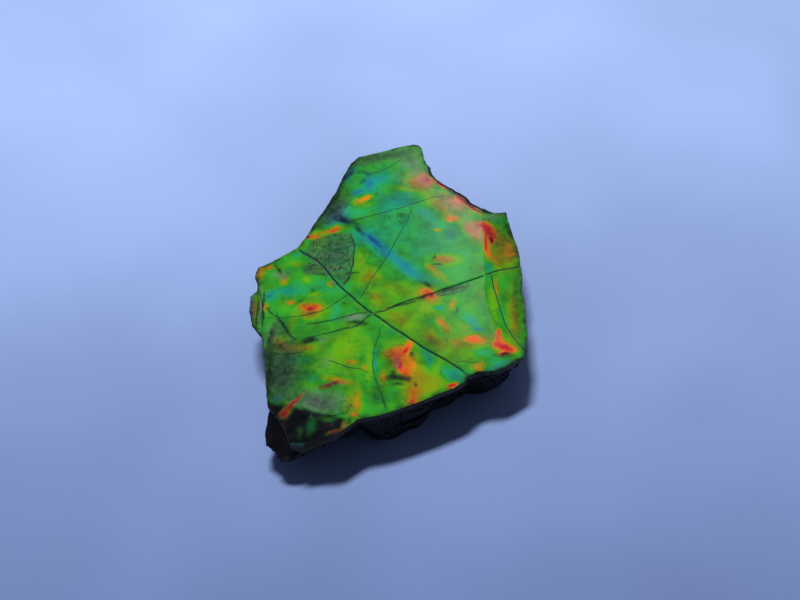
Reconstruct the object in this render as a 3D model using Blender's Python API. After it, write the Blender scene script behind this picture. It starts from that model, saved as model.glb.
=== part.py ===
"""Ammolite specimen: a broken flake of iridescent ammonite shell on its dark shale.

The piece lies on a flat cleavage face of the shale, as a hand sample does on a table.
+Z is up and the origin is under the middle of the piece. Lengths below are millimetres,
and MM turns them into Blender's metres when a mesh is made.
"""
import bpy
import bmesh
import math
from mathutils import Vector, noise
from mathutils.geometry import delaunay_2d_cdt

MM = 0.001

# Driving dimensions of the whole piece
PIECE_HEIGHT = 6.2
SHELL_THICKNESS = 0.7
BOND_CLEARANCE = 0.3

# The shell's face: a very flat dome, a strip that bends down on the right,
# a worn corner that rolls off at the front left, and a ledge one layer lower on the left
DOME_RADIUS = 250.0
STRIP_SLOPE = math.tan(math.radians(13))
STRIP_START = 9.1
STRIP_CURL_FROM = -1.0
STRIP_CURL = 0.06
STRIP_CURL_POWER = 1.9
CORNER_SLOPE = math.tan(math.radians(24))
CORNER_DIRECTION = (-0.62, -0.78)
CORNER_START = 15.6
LEDGE_DROP = 0.35
LEDGE_RAMP = 0.06

# A shallow shell-shaped chip near the worn corner
CHIP_CENTRE = (-5.9, -12.7)
CHIP_SIZE = (2.3, 1.4)
CHIP_DEPTH = 0.16

# The two fractures that are wide enough to feel
GROOVE_HALF_WIDTH = 0.2
GROOVE_DEPTH = 0.14

# The broken rim
RIM_STEP = 1.0
RIM_RAGGED = 0.09
RIM_BEVEL = 0.12
RIM_BEVEL_DROP = 0.2
RIM_UNDERCUT = 0.16

# The shale: flat on a cleavage face, with beds that stand out unevenly on its broken walls
SHALE_RIM_INSET = 0.2
BED_COUNT = 7
BED_UNEVEN = 0.28
BED_TURN = 2.4
BED_RELIEF = 0.45
WALL_LUMPS = 0.45
OVERHANG_STRAIGHT = 0.2
KNOB_LUMPS = 0.3
MIDDLE = (0.0, -1.0)

SHELL_PITCH = 1.05
SHALE_TOP_PITCH = 1.6
BASE_PITCH = 3.0

# Outline of the shell seen from above, counterclockwise from the front notch
SHELL_OUTLINE = [
    (7.2, -10.4), (8.3, -9.8), (9.9, -9.7), (11.3, -8.9), (12.4, -8.1), (12.9, -5.5),
    (12.8, -3.8), (12.8, -1.6), (12.5, -0.2), (12.7, 1.1), (12.6, 2.4), (12.5, 4.0),
    (12.3, 5.1), (11.7, 7.4), (11.4, 9.0), (10.3, 8.7), (9.0, 9.1), (8.0, 9.8),
    (7.3, 10.7), (6.1, 11.6), (5.1, 12.3), (4.4, 13.2), (4.1, 14.3), (3.8, 14.7),
    (3.5, 15.5), (3.3, 16.8), (3.0, 17.2), (2.5, 17.3), (1.1, 17.0), (-1.3, 16.1),
    (-3.0, 15.6), (-3.8, 14.7), (-4.5, 13.0), (-5.2, 10.9), (-6.4, 8.4), (-7.3, 6.8),
    (-7.8, 5.6), (-8.7, 4.1), (-9.9, 3.3), (-11.1, 2.5), (-12.3, 1.9), (-12.6, 0.9),
    (-12.2, -0.4), (-12.9, -1.2), (-12.9, -2.8), (-12.6, -4.4), (-11.6, -5.9),
    (-11.3, -7.6), (-11.0, -11.1), (-10.8, -12.9), (-10.2, -13.7), (-9.5, -14.7),
    (-9.0, -15.7), (-8.6, -16.7), (-7.6, -17.1), (-6.4, -16.8), (-4.6, -16.4),
    (-3.5, -15.5), (-2.7, -14.8), (-0.7, -14.4), (1.5, -13.6), (3.8, -12.6),
    (6.0, -11.6), (7.0, -10.9),
]

# Where bare shale sticks out past the shell, between two points of that outline
KNOB_FROM = (-10.8, -12.9)
KNOB_TO = (-7.6, -17.1)
KNOB_OUTLINE = [(-10.9, -14.0), (-11.1, -14.9), (-10.9, -15.8), (-10.1, -16.4), (-9.5, -17.3), (-8.4, -17.3)]

# Lines on the face
LONG_FRACTURE = [(-8.2, 3.6), (-7.1, 3.0), (-5.8, 1.4), (-4.5, -0.5), (-2.6, -2.6),
                 (-0.7, -4.5), (1.7, -6.4), (3.8, -7.9), (5.8, -9.1), (6.7, -9.9)]
CROSS_FRACTURE = [(-1.2, -3.4), (1.1, -2.4), (3.0, -1.6), (4.8, -0.9), (7.2, 0.3), (9.3, 1.3), (11.9, 2.4)]
LEDGE_LINE = [(-12.0, -0.9), (-11.8, -1.6), (-11.6, -2.6), (-11.5, -3.9), (-11.6, -5.0)]

# How far the foot is set back under the rim, by the angle round the middle in degrees
FOOT_SETBACK = [(0, 1.6), (40, 1.3), (60, 1.0), (82, 1.7), (110, 1.0), (150, 1.4), (175, 1.2),
                (205, 1.6), (228, 4.2), (244, 5.2), (256, 2.8), (264, 0.9), (272, 0.2),
                (283, 0.3), (297, 1.7), (320, 1.4), (360, 1.6)]

SHELL_GREEN = (0.07, 0.36, 0.05, 1.0)
SHALE_BLACK = (0.018, 0.016, 0.019, 1.0)


def clear_scene():
    for thing in list(bpy.data.objects):
        bpy.data.objects.remove(thing, do_unlink=True)


def lerp(a, b, t):
    return a + (b - a) * t


def distance_to_line(x, y, line):
    """Distance to a polyline, and which side: positive on its left."""
    best = 1e9
    side = 1.0
    for (ax, ay), (bx, by) in zip(line, line[1:]):
        dx, dy = bx - ax, by - ay
        t = ((x - ax) * dx + (y - ay) * dy) / (dx * dx + dy * dy)
        t = min(1.0, max(0.0, t))
        away = math.hypot(x - ax - dx * t, y - ay - dy * t)
        if away < best:
            best = away
            side = 1.0 if dx * (y - ay) - dy * (x - ax) >= 0 else -1.0
    return best, side


def is_inside(x, y, loop):
    hit = False
    for (ax, ay), (bx, by) in zip(loop, loop[1:] + loop[:1]):
        if (ay > y) != (by > y) and x < ax + (bx - ax) * (y - ay) / (by - ay):
            hit = not hit
    return hit


def crease_x(y):
    """The line where the right-hand strip bends down."""
    return STRIP_START + STRIP_CURL * max(0.0, STRIP_CURL_FROM - y) ** STRIP_CURL_POWER


def smooth_face(x, y):
    """Height of the shell's face before chips and fractures."""
    z = PIECE_HEIGHT - (x * x + y * y) / (2 * DOME_RADIUS)
    z -= STRIP_SLOPE * max(0.0, x - crease_x(y))
    past_corner = x * CORNER_DIRECTION[0] + y * CORNER_DIRECTION[1] - CORNER_START
    return z - CORNER_SLOPE * max(0.0, past_corner)


def worn_face(x, y):
    """Height of the shell's face with the ledge, the chip and the open fractures."""
    z = smooth_face(x, y)
    away, side = distance_to_line(x, y, LEDGE_LINE)
    if LEDGE_LINE[-1][1] < y < LEDGE_LINE[0][1] and side < 0:
        z -= LEDGE_DROP * min(1.0, away / LEDGE_RAMP)
    reach = math.hypot((x - CHIP_CENTRE[0]) / CHIP_SIZE[0], (y - CHIP_CENTRE[1]) / CHIP_SIZE[1])
    z -= CHIP_DEPTH * max(0.0, 1 - reach * reach)
    for fracture in (LONG_FRACTURE, CROSS_FRACTURE):
        away, _ = distance_to_line(x, y, fracture)
        z -= GROOVE_DEPTH * max(0.0, 1 - away / GROOVE_HALF_WIDTH)
    return z


def shell_underside(x, y):
    return smooth_face(x, y) - SHELL_THICKNESS


def shale_top(x, y):
    return shell_underside(x, y) - BOND_CLEARANCE


def divide_loop(loop, step):
    """Split the long sides of a closed outline, and give the new points a ragged offset."""
    points = []
    for (ax, ay), (bx, by) in zip(loop, loop[1:] + loop[:1]):
        length = math.hypot(bx - ax, by - ay)
        parts = max(1, math.ceil(length / step))
        points.append((ax, ay))
        for k in range(1, parts):
            x, y = lerp(ax, bx, k / parts), lerp(ay, by, k / parts)
            push = RIM_RAGGED * noise.noise(Vector((x * 1.7, y * 1.7, 4.0)))
            points.append((x + push * (by - ay) / length, y - push * (bx - ax) / length))
    return points


def inset_loop(loop, distance):
    """Move each point of a closed outline inwards, square to the outline."""
    points = []
    for before, (x, y), after in zip(loop[-1:] + loop[:-1], loop, loop[1:] + loop[:1]):
        along = Vector((after[0] - before[0], after[1] - before[1])).normalized()
        points.append((x - along.y * distance, y + along.x * distance))
    return points


def parallel_line(line, distance):
    """A polyline at the given distance to the left of another."""
    points = []
    for k, (x, y) in enumerate(line):
        before = line[max(0, k - 1)]
        after = line[min(len(line) - 1, k + 1)]
        along = Vector((after[0] - before[0], after[1] - before[1])).normalized()
        points.append((x - along.y * distance, y + along.x * distance))
    return points


def filling_points(loop, lines, pitch):
    """Points of a triangular lattice that keep clear of the outline and of the lines."""
    closed = loop + loop[:1]
    half_x = max(abs(x) for x, _ in loop)
    half_y = max(abs(y) for _, y in loop)
    row_height = pitch * math.sqrt(3) / 2
    points = []
    for row in range(-math.ceil(half_y / row_height), math.ceil(half_y / row_height) + 1):
        y = row * row_height
        for column in range(-math.ceil(half_x / pitch), math.ceil(half_x / pitch) + 1):
            x = (column + 0.5 * (row % 2)) * pitch
            if not is_inside(x, y, loop) or distance_to_line(x, y, closed)[0] < 0.45 * pitch:
                continue
            if all(distance_to_line(x, y, line)[0] > 0.4 * pitch for line in lines):
                points.append((x, y))
    return points


def cap_rim(mesh, rim, lines, pitch, height):
    """Close a rim of vertices with triangles that follow the lines and lie at the given height."""
    loop = [(vert.co.x / MM, vert.co.y / MM) for vert in rim]
    points = list(loop)
    edges = []
    for line in lines:
        edges += [(len(points) + k, len(points) + k + 1) for k in range(len(line) - 1)]
        points += line
    points += filling_points(loop, lines, pitch)
    flat = [Vector(point) for point in points]
    result = delaunay_2d_cdt(flat, edges, [list(range(len(loop)))], 1, 1e-7)
    verts = []
    for place, sources in zip(result[0], result[3]):
        on_rim = [source for source in sources if source < len(loop)]
        if on_rim:
            verts.append(rim[on_rim[0]])
        else:
            verts.append(mesh.verts.new((place.x * MM, place.y * MM, height(place.x, place.y) * MM)))
    for triangle in result[2]:
        mesh.faces.new([verts[corner] for corner in triangle])


def make_solid(name, rings, lines, pitches, heights, material):
    """One closed body: rings of equal count from top to foot, capped at both ends."""
    mesh = bmesh.new()
    rows = [[mesh.verts.new(Vector(point) * MM) for point in ring] for ring in rings]
    count = len(rows[0])
    for upper, lower in zip(rows, rows[1:]):
        for i in range(count):
            j = (i + 1) % count
            mesh.faces.new((upper[i], lower[i], lower[j], upper[j]))
    cap_rim(mesh, rows[0], lines, pitches[0], heights[0])
    cap_rim(mesh, rows[-1], [], pitches[1], heights[1])
    bmesh.ops.triangulate(mesh, faces=mesh.faces)
    bmesh.ops.recalc_face_normals(mesh, faces=mesh.faces)
    data = bpy.data.meshes.new(name)
    mesh.to_mesh(data)
    mesh.free()
    data.materials.append(material)
    solid = bpy.data.objects.new(name, data)
    bpy.context.collection.objects.link(solid)
    return solid


def plain_material(name, colour, roughness, coat):
    material = bpy.data.materials.new(name)
    material.use_nodes = True
    surface = material.node_tree.nodes["Principled BSDF"]
    surface.inputs["Base Color"].default_value = colour
    surface.inputs["Roughness"].default_value = roughness
    surface.inputs["Metallic"].default_value = 0.0
    surface.inputs["Coat Weight"].default_value = coat
    return material


def make_shell():
    """The nacre: a thin plate with a bevelled, slightly undercut broken rim."""
    outline = divide_loop(SHELL_OUTLINE, RIM_STEP)
    upper = [(x, y, worn_face(x, y)) for x, y in inset_loop(outline, RIM_BEVEL)]
    middle = [(x, y, smooth_face(x, y) - RIM_BEVEL_DROP) for x, y in outline]
    lower = [(x, y, shell_underside(x, y)) for x, y in inset_loop(outline, RIM_UNDERCUT)]
    for k, (x, y, z) in enumerate(middle):
        middle[k] = (x, y, min(z, upper[k][2] - 0.5 * RIM_BEVEL_DROP))
    lines = []
    for fracture in (LONG_FRACTURE, CROSS_FRACTURE):
        for offset in (-GROOVE_HALF_WIDTH, 0.0, GROOVE_HALF_WIDTH):
            lines.append(parallel_line(fracture, offset))
    lines.append(parallel_line(LEDGE_LINE, 0.0))
    lines.append(parallel_line(LEDGE_LINE, -LEDGE_RAMP))
    lines.append([(crease_x(y), y) for y in (8.0, 5.5, 3.2, 0.5, -1.0, -2.6, -4.2, -5.6, -6.8)])
    material = plain_material("iridescent_nacre", SHELL_GREEN, 0.25, 0.6)
    pitches = (SHELL_PITCH, 2 * SHELL_PITCH)
    heights = (worn_face, shell_underside)
    return make_solid("iridescent_shell", [upper, middle, lower], lines, pitches, heights, material)


def setback(degrees):
    """Smooth reading of the foot's setback at an angle round the middle."""
    for (a, low), (b, high) in zip(FOOT_SETBACK, FOOT_SETBACK[1:]):
        if a <= degrees <= b:
            t = (degrees - a) / (b - a)
            return lerp(low, high, t * t * (3 - 2 * t))
    return FOOT_SETBACK[0][1]


def shale_outline():
    """The shell's outline drawn in under it, with the bare knob added at the front left."""
    start = SHELL_OUTLINE.index(KNOB_FROM)
    end = SHELL_OUTLINE.index(KNOB_TO)
    covered = inset_loop(SHELL_OUTLINE, SHALE_RIM_INSET)
    return divide_loop(covered[:start + 1] + KNOB_OUTLINE + covered[end:], RIM_STEP)


def towards_middle(x, y, distance):
    out = Vector((x - MIDDLE[0], y - MIDDLE[1]))
    share = 1 - distance / out.length
    return MIDDLE[0] + out.x * share, MIDDLE[1] + out.y * share


def shale_top_worn(x, y):
    """The bond plane; on the bare knob it is broken lower in lumps."""
    z = shale_top(x, y)
    if is_inside(x, y, SHELL_OUTLINE):
        return z
    bare = distance_to_line(x, y, SHELL_OUTLINE)[0]
    lump = 0.5 + 0.5 * noise.noise(Vector((x * 1.3, y * 1.3, 9.0)))
    return z - KNOB_LUMPS * min(1.0, bare) * (0.4 + lump)


def bed_boundary(number):
    """How far down the wall, from 0 to 1, one bed ends and the next begins; their thickness varies."""
    if number in (0, BED_COUNT):
        return number / BED_COUNT
    return (number + BED_UNEVEN * math.sin(BED_TURN * number)) / BED_COUNT


def wall_inset(x, y, depth, bed):
    """How far the wall at that depth lies in from the rim; an overhang first drops straight."""
    back = setback(math.degrees(math.atan2(y - MIDDLE[1], x - MIDDLE[0])) % 360)
    straight = OVERHANG_STRAIGHT * min(1.0, max(0.0, (back - 1.7) / 2.5))
    back *= max(0.0, depth - straight) / (1 - straight)
    step = BED_RELIEF * (0.5 + noise.noise(Vector((x * 0.35, y * 0.35, bed * 5.3))))
    lump = WALL_LUMPS * noise.noise(Vector((x * 0.5, y * 0.5, 20 + depth * 2.5)))
    return max(0.02, back + min(1.0, 6 * depth) * (step + max(-back, lump)))


def make_shale():
    """The matrix: beds that step in and out down the broken walls to a flat foot."""
    top_ring = [(x, y, shale_top_worn(x, y)) for x, y in shale_outline()]
    rings = [top_ring]
    for bed in range(BED_COUNT):
        for edge in (0.06, 0.94):
            depth = lerp(bed_boundary(bed), bed_boundary(bed + 1), edge)
            ring = []
            for x, y, z in top_ring:
                ring.append((*towards_middle(x, y, wall_inset(x, y, depth, bed)), lerp(z, 0.0, depth)))
            rings.append(ring)
    rings.append([(*towards_middle(x, y, wall_inset(x, y, 1.0, BED_COUNT)), 0.0) for x, y, _ in top_ring])
    material = plain_material("dark_shale", SHALE_BLACK, 0.75, 0.0)
    pitches = (SHALE_TOP_PITCH, BASE_PITCH)
    heights = (shale_top_worn, lambda x, y: 0.0)
    return make_solid("shale_matrix", rings, [], pitches, heights, material)


clear_scene()
make_shell()
make_shale()
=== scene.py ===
# %% [markdown]
# Ammolite specimen. A flake of fossil ammonite shell, thin and iridescent, still sits on the dark
# shale that it was buried in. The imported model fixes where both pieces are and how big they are.
# This lesson gives each of them its broken edges, its colours and its gloss.

# %% Load the fixed model
import math
import bmesh
import bpy
import numpy as np
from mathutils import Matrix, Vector, noise
from mathutils.geometry import delaunay_2d_cdt


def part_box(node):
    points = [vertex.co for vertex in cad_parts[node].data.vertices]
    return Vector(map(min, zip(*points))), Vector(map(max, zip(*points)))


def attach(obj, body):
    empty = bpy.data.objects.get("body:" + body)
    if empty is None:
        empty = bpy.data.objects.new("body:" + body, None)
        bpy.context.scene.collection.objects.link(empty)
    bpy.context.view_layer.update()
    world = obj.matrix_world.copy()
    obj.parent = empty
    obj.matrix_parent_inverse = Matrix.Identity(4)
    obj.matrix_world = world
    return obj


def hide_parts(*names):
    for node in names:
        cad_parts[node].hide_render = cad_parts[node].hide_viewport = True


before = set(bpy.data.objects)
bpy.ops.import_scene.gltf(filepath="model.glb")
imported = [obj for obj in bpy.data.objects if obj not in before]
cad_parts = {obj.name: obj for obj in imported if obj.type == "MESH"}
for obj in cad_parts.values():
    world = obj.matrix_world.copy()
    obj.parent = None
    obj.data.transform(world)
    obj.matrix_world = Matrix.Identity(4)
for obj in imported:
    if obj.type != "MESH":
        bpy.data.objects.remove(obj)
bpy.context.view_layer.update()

MM = 0.001
SHELL_LOW, SHELL_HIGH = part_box("iridescent_shell")
print("shell between heights of", round(SHELL_LOW.z / MM, 2), "and", round(SHELL_HIGH.z / MM, 2), "mm")

# %% [markdown]
# The camera stands where the photographer stood: in front of the piece and well above it, looking
# down by 55 degrees through a long lens. The distance is the photographer's arm's length for so
# small a thing, so the near edge looks only slightly larger than the far one.

# %% Camera
LOOK_AT = Vector((1.1, -1.26, 5.0)) * MM
CAMERA_DROP = math.radians(55)
CAMERA_DISTANCE = 160 * MM
LENS, SENSOR_WIDTH = 76.8, 36.0


def add_object(name, data):
    made = bpy.data.objects.new(name, data)
    bpy.context.collection.objects.link(made)
    return made


camera_data = bpy.data.cameras.new("photo_view")
camera_data.lens = LENS
camera_data.sensor_width = SENSOR_WIDTH
camera_data.clip_start = 2 * MM
camera_data.clip_end = 10.0
camera = add_object("photo_view", camera_data)
line_of_sight = Vector((0, math.cos(CAMERA_DROP), -math.sin(CAMERA_DROP)))
camera.location = LOOK_AT - line_of_sight * CAMERA_DISTANCE
camera.rotation_euler = line_of_sight.to_track_quat("-Z", "Y").to_euler()
bpy.context.scene.camera = camera
print("camera at", [round(value / MM, 1) for value in camera.location], "mm")

# %% [markdown]
# The broken outline is already right in the model, so it is read from there instead of being drawn
# again. Seen from above, the outline is where faces that look up meet faces that look down. Those
# edges are chained into one loop, in millimetres, which is a handier unit for so small a thing.

# %% Read the outline from the model
def merged_copy(node):
    mesh = bmesh.new()
    mesh.from_mesh(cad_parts[node].data)
    bmesh.ops.remove_doubles(mesh, verts=mesh.verts, dist=0.001 * MM)
    mesh.normal_update()
    return mesh


def chain(pairs):
    """Put pairs of neighbours in order round their loop."""
    beside = {}
    for a, b in pairs:
        beside.setdefault(a, []).append(b)
        beside.setdefault(b, []).append(a)
    first = min(beside)
    loop = [first, beside[first][0]]
    while loop[-1] != first:
        onward = [key for key in beside[loop[-1]] if key != loop[-2]]
        loop.append(onward[0])
    return loop[:-1]


def area_inside(loop):
    return 0.5 * sum(a[0] * b[1] - b[0] * a[1] for a, b in zip(loop, loop[1:] + loop[:1]))


def widest_loop(node):
    mesh = merged_copy(node)
    pairs = []
    for edge in mesh.edges:
        if edge.link_faces[0].normal.z * edge.link_faces[1].normal.z < 0:
            pairs.append((edge.verts[0].index, edge.verts[1].index))
    mesh.verts.ensure_lookup_table()
    loop = [tuple(mesh.verts[k].co.xy / MM) for k in chain(pairs)]
    mesh.free()
    return loop if area_inside(loop) > 0 else loop[::-1]


OUTLINE = widest_loop("iridescent_shell")
print("outline of", len(OUTLINE), "points,", round(area_inside(OUTLINE)), "square mm")

# %% [markdown]
# The face of the shell is a very flat dome. On the right it bends down in a narrow strip, at the
# front left it is worn and rolls off, and on the left a flake has come away, which leaves a ledge one
# layer lower. One formula gives the height anywhere, for one point or for an array of them.

# %% Height of the face
PIECE_HEIGHT = SHELL_HIGH.z / MM
SHELL_THICKNESS = 0.7
DOME_RADIUS = 250.0
STRIP_START, STRIP_CURL_FROM, STRIP_CURL, STRIP_CURL_POWER = 9.1, -1.0, 0.06, 1.9
STRIP_SLOPE = math.tan(math.radians(13))
CORNER_DIRECTION, CORNER_START = (-0.62, -0.78), 15.6
CORNER_SLOPE = math.tan(math.radians(24))
LEDGE_DROP = 0.35
CHIP_CENTRE, CHIP_SIZE, CHIP_DEPTH = (-5.7, -12.6), (2.3, 1.5), 0.12
LEDGE_LINE = [(-12.1, -0.6), (-11.8, -1.6), (-11.6, -2.6), (-11.5, -3.9), (-11.6, -5.4)]


def crease_x(y):
    return STRIP_START + STRIP_CURL * np.maximum(0.0, STRIP_CURL_FROM - y) ** STRIP_CURL_POWER


def smooth_face(x, y):
    z = PIECE_HEIGHT - (x * x + y * y) / (2 * DOME_RADIUS)
    z = z - STRIP_SLOPE * np.maximum(0.0, x - crease_x(y))
    past_corner = x * CORNER_DIRECTION[0] + y * CORNER_DIRECTION[1] - CORNER_START
    return z - CORNER_SLOPE * np.maximum(0.0, past_corner)


def ease(values, low, high):
    """0 below low, 1 above high, with a smooth run between."""
    t = np.clip((values - low) / (high - low), 0.0, 1.0)
    return t * t * (3 - 2 * t)


def distance_to(x, y, line):
    """Distance of many points to a polyline."""
    best = np.full(np.shape(x), 1e9)
    for (ax, ay), (bx, by) in zip(line, line[1:]):
        dx, dy = bx - ax, by - ay
        t = np.clip(((x - ax) * dx + (y - ay) * dy) / (dx * dx + dy * dy), 0.0, 1.0)
        best = np.minimum(best, np.hypot(x - ax - dx * t, y - ay - dy * t))
    return best


def inside_of(x, y, loop):
    hit = np.zeros(np.shape(x), bool)
    for (ax, ay), (bx, by) in zip(loop, loop[1:] + loop[:1]):
        if ay != by:
            hit ^= ((ay > y) != (by > y)) & (x < ax + (bx - ax) * (y - ay) / (by - ay))
    return hit


def ripple(x, y, size, layer):
    """Smooth noise between -1 and 1 with bumps of about that size in mm."""
    return np.array([noise.noise(Vector((a / size, b / size, layer))) for a, b in zip(x, y)])


print("face height at the middle", round(float(smooth_face(0.0, 0.0)), 2), "mm")

# %% [markdown]
# Old fractures cross the shell. Dark mineral has healed them, and the wide ones are open grooves that
# a fingernail would catch in. Each is a listed line that is spaced evenly and given a slight wander.
# The mesh gets three rows of points along it: the middle row is cut down and marked, and the side
# rows aren't, so the groove and its dark stain are exactly as wide as the rows are apart. Blender's
# vector noise starts from the clock unless it is given a seed, so it gets one before the wander.

# %% Fracture lines
#   name, half width, depth, points, all in mm
FRACTURES = [
    ("long", 0.13, 0.10, [(-8.4, 3.8), (-7.7, 3.2), (-6.8, 2.6), (-6.0, 1.7), (-5.2, 0.4), (-4.4, -0.6),
                          (-3.1, -2.0), (-1.9, -3.2), (-1.0, -3.9), (0.3, -5.0), (2.0, -6.3), (3.3, -7.35),
                          (4.8, -8.3), (6.0, -9.1), (6.8, -9.75)]),
    ("cross", 0.10, 0.05, [(-1.4, -3.55), (-0.3, -3.3), (0.6, -2.75), (1.7, -2.2), (2.8, -1.8), (3.8, -1.45),
                           (4.7, -1.05), (5.8, -0.6), (6.9, -0.1), (8.1, 0.4), (8.9, 0.8), (9.9, 1.4),
                           (10.9, 1.9), (11.8, 2.25), (12.3, 2.5)]),
    ("cross_twin", 0.08, 0.0, [(4.4, -1.3), (4.9, -1.6), (5.9, -1.35), (6.9, -1.0), (7.5, -0.3)]),
    ("cross_upper", 0.10, 0.0, [(-1.8, -3.45), (-2.9, -3.6), (-4.3, -4.0), (-5.5, -4.4), (-7.4, -4.7)]),
    ("cross_lower", 0.12, 0.0, [(-1.7, -3.8), (-2.9, -4.95), (-4.2, -5.3), (-5.4, -5.7), (-6.4, -5.9),
                                (-7.5, -6.3)]),
    ("fine_left", 0.07, 0.0, [(-11.0, -3.9), (-9.5, -3.95), (-7.9, -3.75), (-5.9, -3.2), (-4.9, -2.4),
                              (-3.9, -1.6)]),
    ("thin_upper", 0.08, 0.0, [(-3.3, 7.35), (-1.7, 7.9), (-0.4, 8.35), (1.0, 8.8), (1.9, 9.25), (2.8, 9.6),
                               (3.9, 10.1), (5.2, 10.4)]),
    ("thin_down", 0.07, 0.0, [(1.8, 7.2), (1.3, 6.2), (0.7, 4.8), (0.0, 3.2), (-0.8, 1.7), (-1.7, 0.1),
                              (-2.5, -1.7)]),
    ("loop", 0.07, 0.0, [(2.2, 8.7), (1.9, 7.6), (1.8, 7.2), (1.25, 6.95), (0.8, 7.5), (0.9, 8.2),
                         (1.6, 8.1)]),
    ("strip", 0.08, 0.04, [(9.7, 1.2), (9.75, 0.6), (9.9, -0.5), (10.2, -1.7), (10.5, -3.1), (10.85, -4.5),
                           (11.3, -5.5), (11.9, -6.4), (12.3, -6.9)]),
    ("left_dark", 0.15, 0.0, [(-11.0, -3.2), (-10.4, -3.8), (-9.9, -4.4), (-9.5, -5.1), (-9.0, -5.9),
                              (-8.4, -6.4)]),
    ("left_low", 0.06, 0.0, [(-10.6, -7.7), (-9.6, -7.95), (-8.5, -7.9), (-7.6, -7.5)]),
    ("low_fine", 0.07, 0.0, [(-5.2, -8.7), (-3.6, -9.4), (-2.4, -9.6), (-1.7, -10.0)]),
    ("low_curve", 0.06, 0.0, [(-0.7, -5.6), (-1.2, -7.2), (-1.4, -8.9), (-1.2, -10.4), (-0.7, -11.8),
                              (-0.3, -13.2)]),
    ("top_fine", 0.06, 0.0, [(-3.3, 13.5), (-2.1, 13.2), (-1.0, 13.5), (0.1, 14.2), (1.2, 15.2)]),
    ("patch_side", 0.10, 0.0, [(-3.4, 5.0), (-3.2, 4.3), (-3.3, 3.2), (-3.3, 2.0), (-3.6, 1.0), (-3.7, 0.3),
                               (-4.15, -0.3)]),
    ("notch_web", 0.06, 0.0, [(6.3, -8.8), (7.0, -8.7), (7.6, -8.9), (8.2, -8.7)]),
    ("chip_edge", 0.07, 0.0, [(-7.8, -13.3), (-6.8, -14.0), (-5.9, -14.3), (-4.7, -14.3), (-3.7, -14.0),
                              (-3.3, -13.4)]),
]
FRACTURE_STEP = 0.45
FRACTURE_WANDER = 0.05
FRACTURE_SEED = 1


def resample(points, step):
    """Points at an even spacing along a polyline."""
    spaced = [points[0]]
    for a, b in zip(points, points[1:]):
        parts = max(1, round(math.dist(a, b) / step))
        for k in range(1, parts + 1):
            spaced.append(tuple(a[i] + (b[i] - a[i]) * k / parts for i in (0, 1)))
    return spaced


def wander(points, amount, layer):
    """Shift the inner points of a line sideways by smooth noise."""
    moved = []
    for k, (x, y) in enumerate(points):
        hold = amount if 0 < k < len(points) - 1 else 0.0
        shift = noise.noise_vector(Vector((x * 1.3, y * 1.3, layer)))
        moved.append((x + hold * shift.x, y + hold * shift.y))
    return moved


def parallel(points, distance):
    """A line at that distance to the left of another."""
    moved = []
    for k, (x, y) in enumerate(points):
        before, after = points[max(0, k - 1)], points[min(len(points) - 1, k + 1)]
        along = Vector((after[0] - before[0], after[1] - before[1])).normalized()
        moved.append((x - along.y * distance, y + along.x * distance))
    return moved


noise.seed_set(FRACTURE_SEED)
fracture_lines = {}
for order, (name, half_width, depth, points) in enumerate(FRACTURES):
    line = wander(resample(points, FRACTURE_STEP), FRACTURE_WANDER, 30.0 + order)
    fracture_lines[name] = (line, half_width, depth)
fracture_length = 0.0
for line, half_width, depth in fracture_lines.values():
    fracture_length += sum(math.dist(a, b) for a, b in zip(line, line[1:]))
print(len(fracture_lines), "fractures,", round(fracture_length), "mm in all")

# %% [markdown]
# The rim is broken, not cut, so the model's outline gets small nicks and a ragged run between its
# points. A closed outline is easiest to change as a list of points with their outward directions.

# %% A ragged rim
RIM_STEP = 0.28
RIM_RAGGED = 0.05
NICK_DEPTH = 0.11
NICK_SPACING = 1.1
RIM_INSET = 0.07
CHAMFER_WIDTH = 0.34


def outward(loop):
    """Unit directions square to a closed outline, pointing out of it."""
    directions = []
    for before, after in zip(loop[-1:] + loop[:-1], loop[1:] + loop[:1]):
        along = Vector((after[0] - before[0], after[1] - before[1])).normalized()
        directions.append((along.y, -along.x))
    return directions


def push(loop, amounts):
    ways = outward(loop)
    return [(x + dx * amount, y + dy * amount) for (x, y), (dx, dy), amount in zip(loop, ways, amounts)]


def ragged_rim(outline):
    spaced = resample(outline + outline[:1], RIM_STEP)[:-1]
    amounts = []
    for x, y in spaced:
        rough = noise.noise(Vector((x * 2.3, y * 2.3, 2.0)))
        nick = max(0.0, noise.noise(Vector((x / NICK_SPACING, y / NICK_SPACING, 7.0))) - 0.25)
        amounts.append(RIM_RAGGED * rough - NICK_DEPTH * 2.5 * nick)
    return push(spaced, amounts)


def chamfer_share(x, y):
    """Where the upper right break slopes instead of standing straight, from 0 to 1."""
    along = ease(np.array(x + y), 15.5, 17.0) * ease(np.array(x), 3.2, 4.2) * ease(-np.array(x), -10.4, -9.4)
    return float(along) * (0.75 + 0.5 * noise.noise(Vector((x, y, 3.0))))


RIM = ragged_rim(OUTLINE)
rim_insets = [-RIM_INSET - CHAMFER_WIDTH * chamfer_share(x, y) for x, y in RIM]
FACE_EDGE = push(RIM, rim_insets)
print("rim of", len(RIM), "points")

# %% [markdown]
# The shell is meshed like a map. A constrained Delaunay triangulation takes the outline and the
# fracture rows as fixed edges and fills the rest with an even lattice. Cutting each edge in four then
# gives triangles of 0.15 mm. The marks are stored as attributes first, so the cut spreads them.

# %% Mesh the face
LATTICE_PITCH = 0.62
FACE_CUTS = 3
LEDGE_RAMP = 0.06
ETCHED_PATCH = [(-8.3, 3.3), (-7.5, 5.0), (-6.2, 5.6), (-5.0, 6.0), (-3.4, 5.9), (-3.0, 4.4), (-3.1, 2.0),
                (-3.3, 0.9), (-4.0, -0.5), (-5.3, 0.5), (-6.6, 0.6), (-8.2, 0.9), (-8.0, 2.2), (-7.3, 2.6)]


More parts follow.
